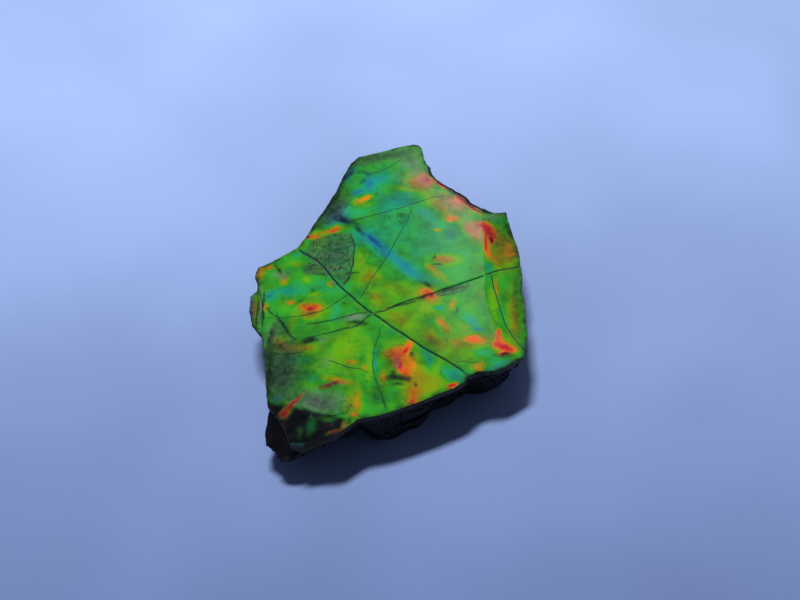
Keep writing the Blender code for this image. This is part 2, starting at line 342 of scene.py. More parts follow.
def lattice(loop, lines, pitch):
    """Points of a triangular lattice inside a loop that keep off the loop and off the lines."""
    reach = 1.05 * max(max(abs(x), abs(y)) for x, y in loop)
    row_height = pitch * math.sqrt(3) / 2
    rows, columns = int(reach / row_height), int(reach / pitch)
    row, column = np.mgrid[-rows:rows + 1, -columns:columns + 1]
    x = ((column + 0.5 * (row % 2)) * pitch).ravel()
    y = (row * row_height).ravel()
    keep = inside_of(x, y, loop) & (distance_to(x, y, loop + loop[:1]) > 0.4 * pitch)
    x, y = x[keep], y[keep]
    keep = np.ones(len(x), bool)
    for line in lines:
        keep &= distance_to(x, y, line) > 0.4 * pitch
    return list(zip(x[keep], y[keep]))


def triangulate(loop, lines, fill):
    """Delaunay triangles inside a loop: places, triangles and, for each place, its source points."""
    points = list(loop)
    edges = []
    for line in lines:
        edges += [(len(points) + k, len(points) + k + 1) for k in range(len(line) - 1)]
        points += line
    points += fill
    result = delaunay_2d_cdt([Vector(p) for p in points], edges, [list(range(len(loop)))], 1, 1e-7)
    return result[0], result[2], result[3]


def mesh_face(loop):
    lines, marks = [], {}
    for line, half_width, depth in fracture_lines.values():
        for offset in (-half_width, 0.0, half_width):
            lines.append(parallel(line, offset))
            if offset == 0.0:
                marks[len(lines) - 1] = (1.0, depth)
    lines += [LEDGE_LINE, parallel(LEDGE_LINE, -LEDGE_RAMP)]
    lines.append([(float(crease_x(y)), y) for y in np.linspace(8.0, -6.8, 26)])
    places, triangles, sources = triangulate(loop, lines, lattice(loop, lines, LATTICE_PITCH))
    spans = []
    first = len(loop)
    for number, line in enumerate(lines):
        spans.append((first, first + len(line), marks.get(number, (0.0, 0.0))))
        first += len(line)
    mesh = bmesh.new()
    stain = mesh.verts.layers.float.new("fracture")
    groove = mesh.verts.layers.float.new("groove")
    verts = []
    for place, source in zip(places, sources):
        vert = mesh.verts.new((place.x, place.y, 0.0))
        hits = [mark for start, end, mark in spans for k in source if start <= k < end]
        vert[stain] = max([mark[0] for mark in hits], default=0.0)
        vert[groove] = max([mark[1] for mark in hits], default=0.0)
        verts.append(vert)
    for triangle in triangles:
        mesh.faces.new([verts[k] for k in triangle])
    bmesh.ops.subdivide_edges(mesh, edges=mesh.edges[:], cuts=FACE_CUTS, use_grid_fill=True)
    return mesh


face_mesh = mesh_face(FACE_EDGE)
print("face of", len(face_mesh.verts), "points and", len(face_mesh.faces), "triangles")

# %% [markdown]
# Now the flat map is lifted to its height. The polish left slow ripples, too low to see but enough to
# bend a reflection. The worn corner lost layers in flakes, so it steps down with a thresholded noise.
# Masks for the rim's brink, the worn corner and the etched patch are stored for the material.

# %% Lift the face and mark it
RIPPLE_HEIGHT = 0.004
WORN_STEP = 0.1
BRINK_WIDTH = 0.9
PATCH_FADE = 0.5


def worn_share(x, y):
    """1 in the worn corner, 0 on the polished face."""
    past_arc = ease(-(y + 13.35 + 0.28 * (x + 7.8)), 0.0, 0.35) * ease(-(x + 3.3), 0.0, 0.8)
    past_left = ease(-(x + 9.3 + 0.5 * (y + 13.6)), 0.0, 0.5) * ease(-(y + 12.9), 0.0, 0.5)
    return np.maximum(past_arc, past_left)


def lift_face(mesh):
    flat = np.array([vert.co.xy for vert in mesh.verts])
    x, y = flat[:, 0], flat[:, 1]
    groove = mesh.verts.layers.float["groove"]
    z = smooth_face(x, y) - np.array([vert[groove] for vert in mesh.verts])
    z += RIPPLE_HEIGHT * (ripple(x, y, 1.6, 11.0) + 0.5 * ripple(x, y, 0.7, 12.0))
    ledge = [LEDGE_LINE[0], *LEDGE_LINE, LEDGE_LINE[-1], (-14.0, -6.0), (-14.0, 0.0)]
    z -= LEDGE_DROP * inside_of(x, y, ledge) * np.clip(distance_to(x, y, LEDGE_LINE) / LEDGE_RAMP, 0, 1)
    reach = np.hypot((x - CHIP_CENTRE[0]) / CHIP_SIZE[0], (y - CHIP_CENTRE[1]) / CHIP_SIZE[1])
    z -= CHIP_DEPTH * np.maximum(0.0, 1 - reach * reach)
    worn = worn_share(x, y)
    flakes = ease(ripple(x, y, 0.9, 21.0), -0.05, 0.05) + 0.4 * ripple(x, y, 0.35, 22.0) + 0.6
    z -= WORN_STEP * worn * flakes
    brink = 1 - ease(distance_to(x, y, FACE_EDGE + FACE_EDGE[:1]), 0.0, BRINK_WIDTH)
    patch = inside_of(x, y, ETCHED_PATCH).astype(float)
    etched = patch * ease(distance_to(x, y, ETCHED_PATCH + ETCHED_PATCH[:1]), 0.0, PATCH_FADE)
    masks = {"brink": brink, "worn": worn, "etched": etched}
    layers = {key: mesh.verts.layers.float.new(key) for key in (*masks, "rim")}
    for k, vert in enumerate(mesh.verts):
        vert.co.z = z[k]
        for key, values in masks.items():
            vert[layers[key]] = values[k]


lift_face(face_mesh)
print("face lifted to between", round(min(v.co.z for v in face_mesh.verts), 2),
      "and", round(max(v.co.z for v in face_mesh.verts), 2), "mm")

# %% [markdown]
# Nacre is a stack of thin layers, and a break steps through it. The wall of the rim is built as rows
# of points below the face's edge: each layer stands a little further out or in than the one above. On
# the upper right the break is a sloping facet, so the rows there run out before they go down.

# %% Broken wall of the shell
#   share of the way down, share of the way out, raggedness in mm
RIM_ROWS = [(0.03, 0.30, 0.01), (0.10, 0.62, 0.02), (0.20, 0.88, 0.03), (0.32, 1.00, 0.04),
            (0.35, 0.80, 0.05), (0.50, 0.86, 0.05), (0.53, 0.62, 0.05), (0.72, 0.66, 0.06),
            (0.75, 0.36, 0.05), (0.93, 0.30, 0.04), (1.00, 0.05, 0.02)]


def boundary(mesh):
    pairs = [(e.verts[0].index, e.verts[1].index) for e in mesh.edges if e.is_boundary]
    loop = chain(pairs)
    mesh.verts.ensure_lookup_table()
    if area_inside([tuple(mesh.verts[k].co.xy) for k in loop]) < 0:
        loop.reverse()
    return [mesh.verts[k] for k in loop]


def add_wall(mesh):
    mesh.verts.index_update()
    upper = boundary(mesh)
    rim_mark = mesh.verts.layers.float["rim"]
    edge = [tuple(vert.co.xy) for vert in upper]
    ways = outward(edge)
    widths = [RIM_INSET + CHAMFER_WIDTH * chamfer_share(x, y) for x, y in edge]
    wall = []
    for row, (down, out, rough) in enumerate(RIM_ROWS):
        lower = []
        for (x, y), (dx, dy), width, top in zip(edge, ways, widths, upper if row == 0 else first_ring):
            jag = rough * noise.noise(Vector((x * 1.9, y * 1.9, 40.0 + row)))
            px, py = x + dx * (width * out + jag), y + dy * (width * out + jag)
            depth = SHELL_THICKNESS * down * (1 - 0.25 * max(0.0, jag / 0.05))
            floor = float(smooth_face(x, y)) - SHELL_THICKNESS
            height = min(float(smooth_face(x, y)) - depth, top.co.z - 0.02 * (row + 1))
            lower.append(mesh.verts.new((px, py, max(floor, height) if row < len(RIM_ROWS) - 1 else floor)))
            lower[-1][rim_mark] = 1.0
        if row == 0:
            first_ring = upper
        for i in range(len(upper)):
            j = (i + 1) % len(upper)
            wall.append(mesh.faces.new((upper[i], lower[i], lower[j], upper[j])))
        upper = lower
    return upper, wall


def close_below(mesh, ring):
    loop = [tuple(vert.co.xy) for vert in ring]
    _, triangles, sources = triangulate(loop, [], [])
    faces = []
    for triangle in triangles:
        corners = [ring[min(sources[k])] for k in triangle]
        faces.append(mesh.faces.new(corners[::-1]))
    return faces


def finish_mesh(mesh, name):
    """Scale from mm to metres and make the object."""
    bmesh.ops.scale(mesh, vec=(MM, MM, MM), verts=mesh.verts)
    data = bpy.data.meshes.new(name)
    mesh.to_mesh(data)
    mesh.free()
    return add_object(name, data)


last_ring, wall_faces = add_wall(face_mesh)
hidden_faces = close_below(face_mesh, last_ring)
for face in face_mesh.faces:
    face.smooth = True
for face in wall_faces + hidden_faces:
    face.material_index = 1
shell = finish_mesh(face_mesh, "nacre_shell")
print("shell of", len(shell.data.polygons), "faces")

# %% [markdown]
# The shale under the shell has the model's own form, so its mesh is a copy of the model's. Each edge
# is cut in four and the points are pushed about by three sizes of noise: lumps, chips and grain. The
# model keeps a clearance at the bond, so the copy is stretched upwards until it meets the shell. Its
# foot stays flat.

# %% Shale body
SHALE_CUTS = 3
BOND_CLEARANCE = 0.3
BOND_TOUCH = 0.02
BEDS_FLATTEN = 1.6
NOISE_APART = 90
FOOT_HOLD = 0.25
#   size of the bumps, height of the bumps, in mm
ROUGHNESS_SIZES = [(1.3, 0.10), (0.5, 0.07), (0.2, 0.035)]


def rough_shale():
    mesh = merged_copy("shale_matrix")
    bmesh.ops.subdivide_edges(mesh, edges=mesh.edges[:], cuts=SHALE_CUTS, use_grid_fill=True)
    sideways = {"use_axis_x": True, "use_axis_y": True, "use_axis_z": False}
    bmesh.ops.smooth_vert(mesh, verts=mesh.verts, factor=0.5, **sideways)
    bmesh.ops.scale(mesh, vec=(1 / MM, 1 / MM, 1 / MM), verts=mesh.verts)
    mesh.normal_update()
    x, y, z = np.array([vert.co for vert in mesh.verts]).T
    bond = smooth_face(x, y) - SHELL_THICKNESS
    stretch = (bond - BOND_TOUCH) / (bond - BOND_CLEARANCE)
    bare = ~inside_of(x, y, OUTLINE)
    wall = 1 - np.abs([vert.normal.z for vert in mesh.verts])
    free = np.minimum(1.0, 1.6 * wall + 0.8 * bare) * np.minimum(1.0, z / FOOT_HOLD)
    for k, vert in enumerate(mesh.verts):
        shift = 0.0
        place = Vector((x[k], y[k], BEDS_FLATTEN * z[k]))
        for size, height in ROUGHNESS_SIZES:
            shift += height * noise.noise(place / size + Vector((0, 0, NOISE_APART * size)))
        vert.co += vert.normal * shift * free[k]
        vert.co.z = max(0.0, vert.co.z * stretch[k])
    return mesh


shale = finish_mesh(rough_shale(), "shale_body")
print("shale of", len(shale.data.polygons), "faces")

# %% [markdown]
# Materials come next. A few helpers keep the node trees short: one adds a node and wires it, two do
# arithmetic, and others blend colours, make noise, a ramp or a bump. A colour is given from 0
# to 255, and one helper turns it into the linear numbers that Blender uses.

# %% Node helpers
def linear(red, green, blue):
    parts = []
    for value in (red, green, blue):
        value /= 255
        parts.append(value / 12.92 if value <= 0.04045 else ((value + 0.055) / 1.055) ** 2.4)
    return (*parts, 1.0)


def add_node(tree, kind, inputs=None, **settings):
    made = tree.nodes.new(kind)
    for key, value in settings.items():
        setattr(made, key, value)
    for key, value in (inputs or {}).items():
        if isinstance(value, bpy.types.NodeSocket):
            tree.links.new(value, made.inputs[key])
        else:
            made.inputs[key].default_value = value
    return made


def calc(tree, operation, a, b=0.0, clamp=False):
    return add_node(tree, "ShaderNodeMath", {0: a, 1: b}, operation=operation, use_clamp=clamp).outputs[0]


def calc_vector(tree, operation, a, b, output="Vector"):
    return add_node(tree, "ShaderNodeVectorMath", {0: a, 1: b}, operation=operation).outputs[output]


def blend_value(tree, share, a, b):
    return add_node(tree, "ShaderNodeMix", {0: share, 2: a, 3: b}, data_type="FLOAT").outputs[0]


def blend_colour(tree, share, a, b, blend_type="MIX"):
    mixed = add_node(tree, "ShaderNodeMix", {0: share, 6: a, 7: b}, data_type="RGBA", blend_type=blend_type)
    return mixed.outputs[2]


def tint(tree, colour, mask, strength, picked):
    """Lay a colour given from 0 to 255 over another where the mask is high."""
    return blend_colour(tree, calc(tree, "MULTIPLY", mask, strength), colour, linear(*picked))


def colour_ramp(tree, value, stops):
    ramp = add_node(tree, "ShaderNodeValToRGB", {"Fac": value})
    elements = ramp.color_ramp.elements
    elements.remove(elements[1])
    for number, (position, picked) in enumerate(stops):
        stop = elements.new(position) if number else elements[0]
        stop.position = position
        stop.color = linear(*picked)
    return ramp.outputs["Color"]


def add_bump(tree, surface, height, strength, distance, invert=False):
    inputs = {"Height": height, "Strength": strength, "Distance": distance * MM}
    bump = add_node(tree, "ShaderNodeBump", inputs, invert=invert)
    tree.links.new(bump.outputs["Normal"], surface.inputs["Normal"])


def rescale(tree, value, low, high, new_low=0.0, new_high=1.0, curve="SMOOTHSTEP"):
    inputs = {"Value": value, "From Min": low, "From Max": high, "To Min": new_low, "To Max": new_high}
    return add_node(tree, "ShaderNodeMapRange", inputs, interpolation_type=curve, clamp=False).outputs[0]


def mottle(tree, place, scale, detail=2.0, roughness=0.5, shift=0.0):
    """Noise on a position in mm; scale is bumps per mm, and shift picks another part of the noise."""
    moved = calc_vector(tree, "ADD", place, (shift, 2.3 * shift, 0.0))
    inputs = {"Vector": moved, "Scale": scale, "Detail": detail, "Roughness": roughness}
    return add_node(tree, "ShaderNodeTexNoise", inputs).outputs["Fac"]


def mark(tree, name):
    return add_node(tree, "ShaderNodeAttribute", attribute_name=name).outputs["Fac"]


def new_material(name):
    material = bpy.data.materials.new(name)
    material.use_nodes = True
    return material, material.node_tree, material.node_tree.nodes["Principled BSDF"]


def place_in_mm(tree, flat=True):
    """Object coordinates in mm; flat leaves the height out, so a pattern is drawn straight down."""
    raw = add_node(tree, "ShaderNodeTexCoord").outputs["Object"]
    return calc_vector(tree, "MULTIPLY", raw, (1 / MM, 1 / MM, 0.0 if flat else 1 / MM))


print("helpers ready")

# %% [markdown]
# Nearly every surface here is mottled in one way or another, so the kinds of noise are rows of one
# table. A row says how fine the noise is, which range of it is taken and what that range becomes.

# %% Kinds of mottling
#   bumps per mm, detail, roughness, shift, then the range taken and what it becomes (0 to 1 if not said)
MOTTLES = {
    "cloudy light": (0.7, 2.0, 0.5, 40.0, 0.3, 0.7, 0.6, 0.9),
    "dirt": (1.9, 4.0, 0.62, 90.0, 0.36, 0.6, 0.2, 1.1),
    "ragged brown": (1.2, 3.0, 0.5, 0.0, 0.3, 0.65),
    "breaks in the cell lines": (1.4, 3.0, 0.6, 9.0, 0.36, 0.54),
    "places with hairlines": (0.45, 2.0, 0.5, 29.0, 0.5, 0.62),
    "uneven stain": (2.2, 3.0, 0.5, 5.0, 0.3, 0.6, 0.5, 1.0),
    "specks": (6.0, 2.0, 0.7, 60.0, 0.68, 0.76),
    "roughness under the coat": (3.0, 4.0, 0.6, 80.0, 0.3, 0.7, 0.35, 0.55),
    "shale blotches": (0.8, 5.0, 0.65, 31.0, 0.56, 0.72),
    "shale glints": (9.0, 1.0, 0.5, 70.0, 0.6, 0.72, 0.8, 0.42),
    # soft patches of painted light and shade on the paper
    "paper painted light": (0.03, 2.0, 0.5, 0.0, 0.3, 0.7, 0.9, 1.08),
}


def mottled(tree, place, kind):
    scale, detail, roughness, shift, *span = MOTTLES[kind]
    return rescale(tree, mottle(tree, place, scale, detail, roughness, shift), *span)


print("mottling:", ", ".join(MOTTLES))

# %% [markdown]
# The colour of nacre comes from how thick its layers are: thin ones look blue, then green, yellow and
# orange, and the thickest red. So the material doesn't paint colours. It builds one number, the layer
# thickness, and a ramp turns it into a hue. A bump in the thickness then gets its yellow and orange
# rings by itself, as on the real shell. Each brush stroke is an ellipse that pulls the number towards
# a named hue, on positions that noise has bent, so no stroke has a clean outline.

# %% Hues and strokes of the nacre
#     name: place on the ramp, colour
HUES = {
    "deep_blue": (0.00, (14, 82, 134)), "azure": (0.13, (22, 126, 150)), "teal": (0.26, (26, 154, 128)),
    "mint": (0.37, (36, 166, 92)), "green": (0.48, (52, 166, 32)), "lime": (0.59, (106, 174, 4)),
    "olive": (0.67, (144, 150, 3)), "amber": (0.73, (188, 150, 4)), "orange": (0.80, (226, 130, 8)),
    "ember": (0.87, (240, 84, 34)), "red": (0.94, (196, 28, 36)), "crimson": (1.00, (76, 12, 22)),
}

#   hue, then its strokes: x, y, turn in degrees, half length, half width in mm
FIELDS = [
    ("mint", [(-0.5, 12.2, 75, 3.2, 3.0), (4.5, 5.5, 75, 6.0, 3.6), (-4.6, 3.0, 75, 2.4, 2.0),
              (9.8, -8.8, 30, 2.4, 0.9), (-6.4, -0.6, 0, 2.6, 1.3), (1.0, -6.2, -30, 1.6, 0.8),
              (0.0, 6.4, 75, 4.2, 2.4)]),
    ("green", [(-0.5, 15.2, 15, 3.6, 1.2), (-8.5, -2.4, 0, 4.0, 2.2), (-1.0, -13.2, 0, 1.8, 1.2),
               (0.1, -11.9, 60, 0.9, 0.8), (-9.2, 1.8, 0, 1.6, 0.8), (10.8, 0.6, 75, 1.4, 0.8)]),
    ("lime", [(-4.0, -7.6, 60, 3.4, 2.4), (5.9, -7.3, -30, 2.8, 1.6), (3.2, -3.0, 0, 1.8, 1.0),
              (1.0, -0.9, -15, 2.6, 1.2), (-2.6, 2.9, 75, 2.0, 0.8), (7.0, -5.0, 0, 1.2, 0.8),
              (9.9, -2.2, 90, 3.0, 0.6), (-8.9, -4.6, 75, 1.2, 0.5), (-6.9, -1.4, 0, 1.0, 0.4)]),
    ("olive", [(1.3, -4.3, -30, 2.6, 1.3), (-1.9, 0.6, 45, 1.4, 1.1), (-1.0, -2.0, -45, 1.4, 0.8),
               (3.7, -11.2, 30, 2.2, 1.3), (11.7, -3.5, 90, 4.0, 0.7), (11.1, 4.2, 90, 2.6, 1.4),
               (4.2, -6.4, -45, 1.6, 0.7), (6.3, -6.7, 0, 1.6, 0.6),
               (-7.6, -7.3, 0, 1.8, 0.5), (-3.2, -12.8, 90, 1.6, 0.9), (-9.8, -6.6, -60, 1.2, 0.8)]),
    ("mint", [(-3.0, 8.3, 15, 1.4, 0.8), (-7.9, -8.6, 0, 1.6, 0.4), (8.7, -7.7, 0, 1.0, 0.6),
              (-8.6, 3.4, 30, 0.9, 0.4), (-6.8, -15.3, 75, 0.8, 0.6), (-4.9, -3.5, 90, 1.0, 0.6),
              (9.9, 7.6, 0, 0.8, 0.5), (-3.1, 5.5, -60, 0.8, 0.3), (-6.7, -10.4, 90, 0.7, 0.4)]),
    ("teal", [(-1.9, 5.2, -45, 2.4, 1.2), (0.8, 9.6, 15, 2.2, 1.0), (7.7, -4.4, -45, 1.4, 0.6),
              (4.7, -2.9, 0, 0.6, 0.35),
              (3.6, -8.4, -60, 1.3, 0.6), (6.0, -10.2, -30, 1.5, 0.8), (3.6, 8.1, -45, 1.3, 0.6),
              (-11.0, -1.4, 60, 0.8, 0.6), (-9.4, -1.0, 0, 1.6, 0.7), (-10.0, -12.4, 30, 0.7, 0.5),
              (5.8, 5.5, 75, 0.8, 0.5), (9.45, 1.8, 90, 0.7, 0.4), (-0.9, 12.4, 60, 1.3, 0.8),
              (3.2, 0.5, -30, 1.5, 0.5), (-1.1, -8.9, 90, 1.3, 0.25), (10.0, -9.2, 30, 1.0, 0.4)]),
    ("azure", [(-1.9, 11.9, 75, 1.1, 0.7), (-3.0, 10.9, 15, 0.9, 0.5), (-4.9, 8.0, 60, 1.8, 1.1),
               (-3.9, 13.1, 60, 1.2, 0.5), (-0.6, 3.9, -45, 2.6, 0.6), (1.6, 1.7, -45, 1.6, 0.7),
               (8.2, -5.3, 0, 0.5, 0.3), (-8.2, -16.6, 0, 0.7, 0.3)]),
    ("deep_blue", [(-1.4, 4.9, -45, 1.3, 0.25), (-4.4, 7.4, -30, 0.9, 0.25), (-8.2, -16.6, 0, 0.7, 0.2)]),
    ("green", [(-3.2, 12.8, 0, 0.7, 0.5), (0.1, 11.5, 0, 1.2, 0.7), (10.8, -6.1, 75, 0.6, 0.4),
               (11.2, 6.9, 90, 1.0, 0.4), (-5.3, -14.6, 0, 1.0, 0.4)]),
    ("lime", [(1.3, 11.3, -15, 0.8, 0.4), (4.3, -9.5, 75, 1.0, 0.6), (-8.6, 2.2, 0, 0.9, 0.4),
              (-7.6, 0.4, 90, 0.6, 0.4), (-1.7, -8.6, 90, 2.6, 0.35), (-2.3, 9.3, 0, 1.2, 0.3),
              (-6.1, -2.9, 75, 0.6, 0.3), (-3.3, -11.6, 0, 0.8, 0.4)]),
    ("amber", [(11.2, 4.3, 90, 2.0, 1.0), (2.6, 12.2, -60, 1.6, 1.3), (5.2, 9.2, -45, 2.2, 1.0),
               (-12.4, -2.6, 90, 1.6, 0.35), (-9.2, -7.3, -15, 0.9, 0.3), (-12.2, 1.2, 60, 0.8, 0.5)]),
    ("ember", [(3.5, 12.4, -60, 1.4, 0.9), (6.5, 9.6, -45, 1.9, 0.8), (6.1, 7.6, 0, 1.0, 0.6),
               (8.2, 6.1, -60, 1.8, 1.0)]),
]
FLASHES = [
    ("olive", [(3.7, -1.5, -30, 1.3, 1.0), (10.4, -6.8, -30, 1.4, 1.0), (1.6, -8.8, -75, 2.6, 1.4),
               (2.3, -12.3, 75, 1.4, 1.0), (7.8, -6.5, 0, 1.3, 0.8), (-7.1, -3.1, 0, 1.3, 1.0),
               (9.8, 6.0, 90, 1.6, 0.9), (-5.9, 5.9, 15, 1.6, 0.4), (-9.2, -7.3, 0, 1.4, 0.4),
               (4.5, 1.1, -45, 1.3, 0.4), (5.3, 2.6, 0, 1.4, 0.8), (2.9, -10.3, -45, 1.6, 0.8)]),
    ("amber", [(-2.6, 9.9, 30, 1.0, 0.4), (5.3, 2.75, 0, 0.8, 0.35), (6.0, -2.5, 75, 0.7, 0.3),
               (5.1, -4.8, -60, 1.1, 0.45), (-5.7, 6.05, 15, 0.8, 0.3), (-6.9, 5.2, 0, 0.6, 0.3),
               (-12.0, 1.3, 90, 0.9, 0.4), (-9.8, 0.3, 90, 0.6, 0.35), (-5.5, -0.2, 90, 0.4, 0.3),
               (-11.4, -2.7, 90, 0.5, 0.3), (3.8, -1.7, -30, 0.9, 0.6), (8.2, -9.2, 15, 0.8, 0.45),
               (-0.4, -10.4, 90, 0.7, 0.4), (-4.3, -10.8, -15, 1.4, 0.35), (-2.7, -12.9, 90, 1.1, 0.35),
               (-3.9, -15.3, 75, 0.5, 0.4), (-3.3, -8.8, 0, 0.5, 0.3), (-2.1, -9.4, 90, 0.4, 0.25),
               (11.5, 3.9, 15, 0.8, 0.35), (10.2, 2.8, -60, 0.8, 0.35), (10.1, -0.2, 90, 1.1, 0.16),
               (1.9, -9.4, -75, 1.6, 0.8), (-9.2, -13.6, 30, 0.8, 0.55), (4.7, 6.2, 0, 0.4, 0.2),
               (4.0, 1.6, -45, 0.5, 0.3), (-7.2, -3.3, 15, 0.8, 0.7)]),
    ("orange", [(-2.2, 10.1, 30, 0.6, 0.28), (-4.95, 6.4, 45, 0.45, 0.3), (3.6, -1.4, -30, 0.7, 0.5),
                (4.95, -4.6, -60, 0.5, 0.2), (8.2, -6.4, -15, 0.8, 0.42), (-9.1, -2.25, 0, 0.4, 0.25),
                (-6.5, -2.9, 90, 0.4, 0.25), (-11.2, 1.8, 0, 0.4, 0.25), (10.9, -7.1, -15, 0.9, 0.5),
                (10.15, -5.8, 90, 0.6, 0.3), (2.3, -12.3, 75, 1.1, 0.45), (1.9, -8.9, -75, 1.0, 0.5),
                (8.4, -9.6, 0, 0.35, 0.2), (-3.0, -14.2, 0, 0.4, 0.25), (-7.2, 5.4, 15, 0.5, 0.3),
                (10.1, 5.8, 90, 0.6, 0.4), (11.7, 3.9, 15, 0.4, 0.2), (0.4, -8.0, 0, 0.8, 0.55),
                (9.6, 3.6, 90, 1.0, 0.3), (-7.3, -2.75, 0, 1.0, 0.35)]),
    ("ember", [(-5.3, 6.05, 15, 0.4, 0.2), (3.8, -1.3, -45, 0.5, 0.35), (7.7, -6.35, 0, 0.65, 0.32),
               (10.2, -5.5, 90, 0.35, 0.25), (10.1, -6.4, 90, 0.75, 0.4), (11.1, -7.35, 0, 0.6, 0.3),
               (1.8, -7.2, 60, 0.8, 0.4), (1.6, -9.9, 90, 0.5, 0.4), (2.2, -12.9, 0, 0.35, 0.2),
               (-7.2, -2.75, 0, 0.7, 0.2), (9.4, 6.9, -30, 0.7, 0.35), (10.0, 5.6, 90, 0.4, 0.35),
               (-5.2, -11.15, 15, 1.0, 0.2), (0.9, -8.3, 75, 0.9, 0.5)]),
    ("red", [(1.6, -7.7, 60, 0.4, 0.22), (1.1, -9.2, 90, 0.7, 0.3), (10.5, -7.1, -15, 0.9, 0.4),
             (-7.2, -3.05, 0, 0.5, 0.2), (4.0, -1.5, 60, 0.3, 0.2), (3.8, 12.6, -60, 0.6, 0.3),
             (7.0, 10.0, -45, 0.8, 0.35), (9.0, 6.6, -45, 0.9, 0.35), (9.55, 6.2, 90, 0.9, 0.5),
             (9.25, 4.6, 90, 1.5, 0.2), (5.85, -11.3, 30, 0.6, 0.28), (-9.2, -13.7, 30, 0.5, 0.4),
             (-8.4, -12.9, 45, 1.1, 0.22), (-4.7, -15.8, 15, 0.6, 0.2), (7.9, 9.3, -45, 1.5, 0.35),
             (5.0, 12.0, -45, 1.0, 0.25)]),
    ("crimson", [(10.6, -7.8, 0, 0.6, 0.18), (-7.8, 5.3, 0, 0.3, 0.2), (9.8, 5.1, 90, 0.5, 0.2)]),
]
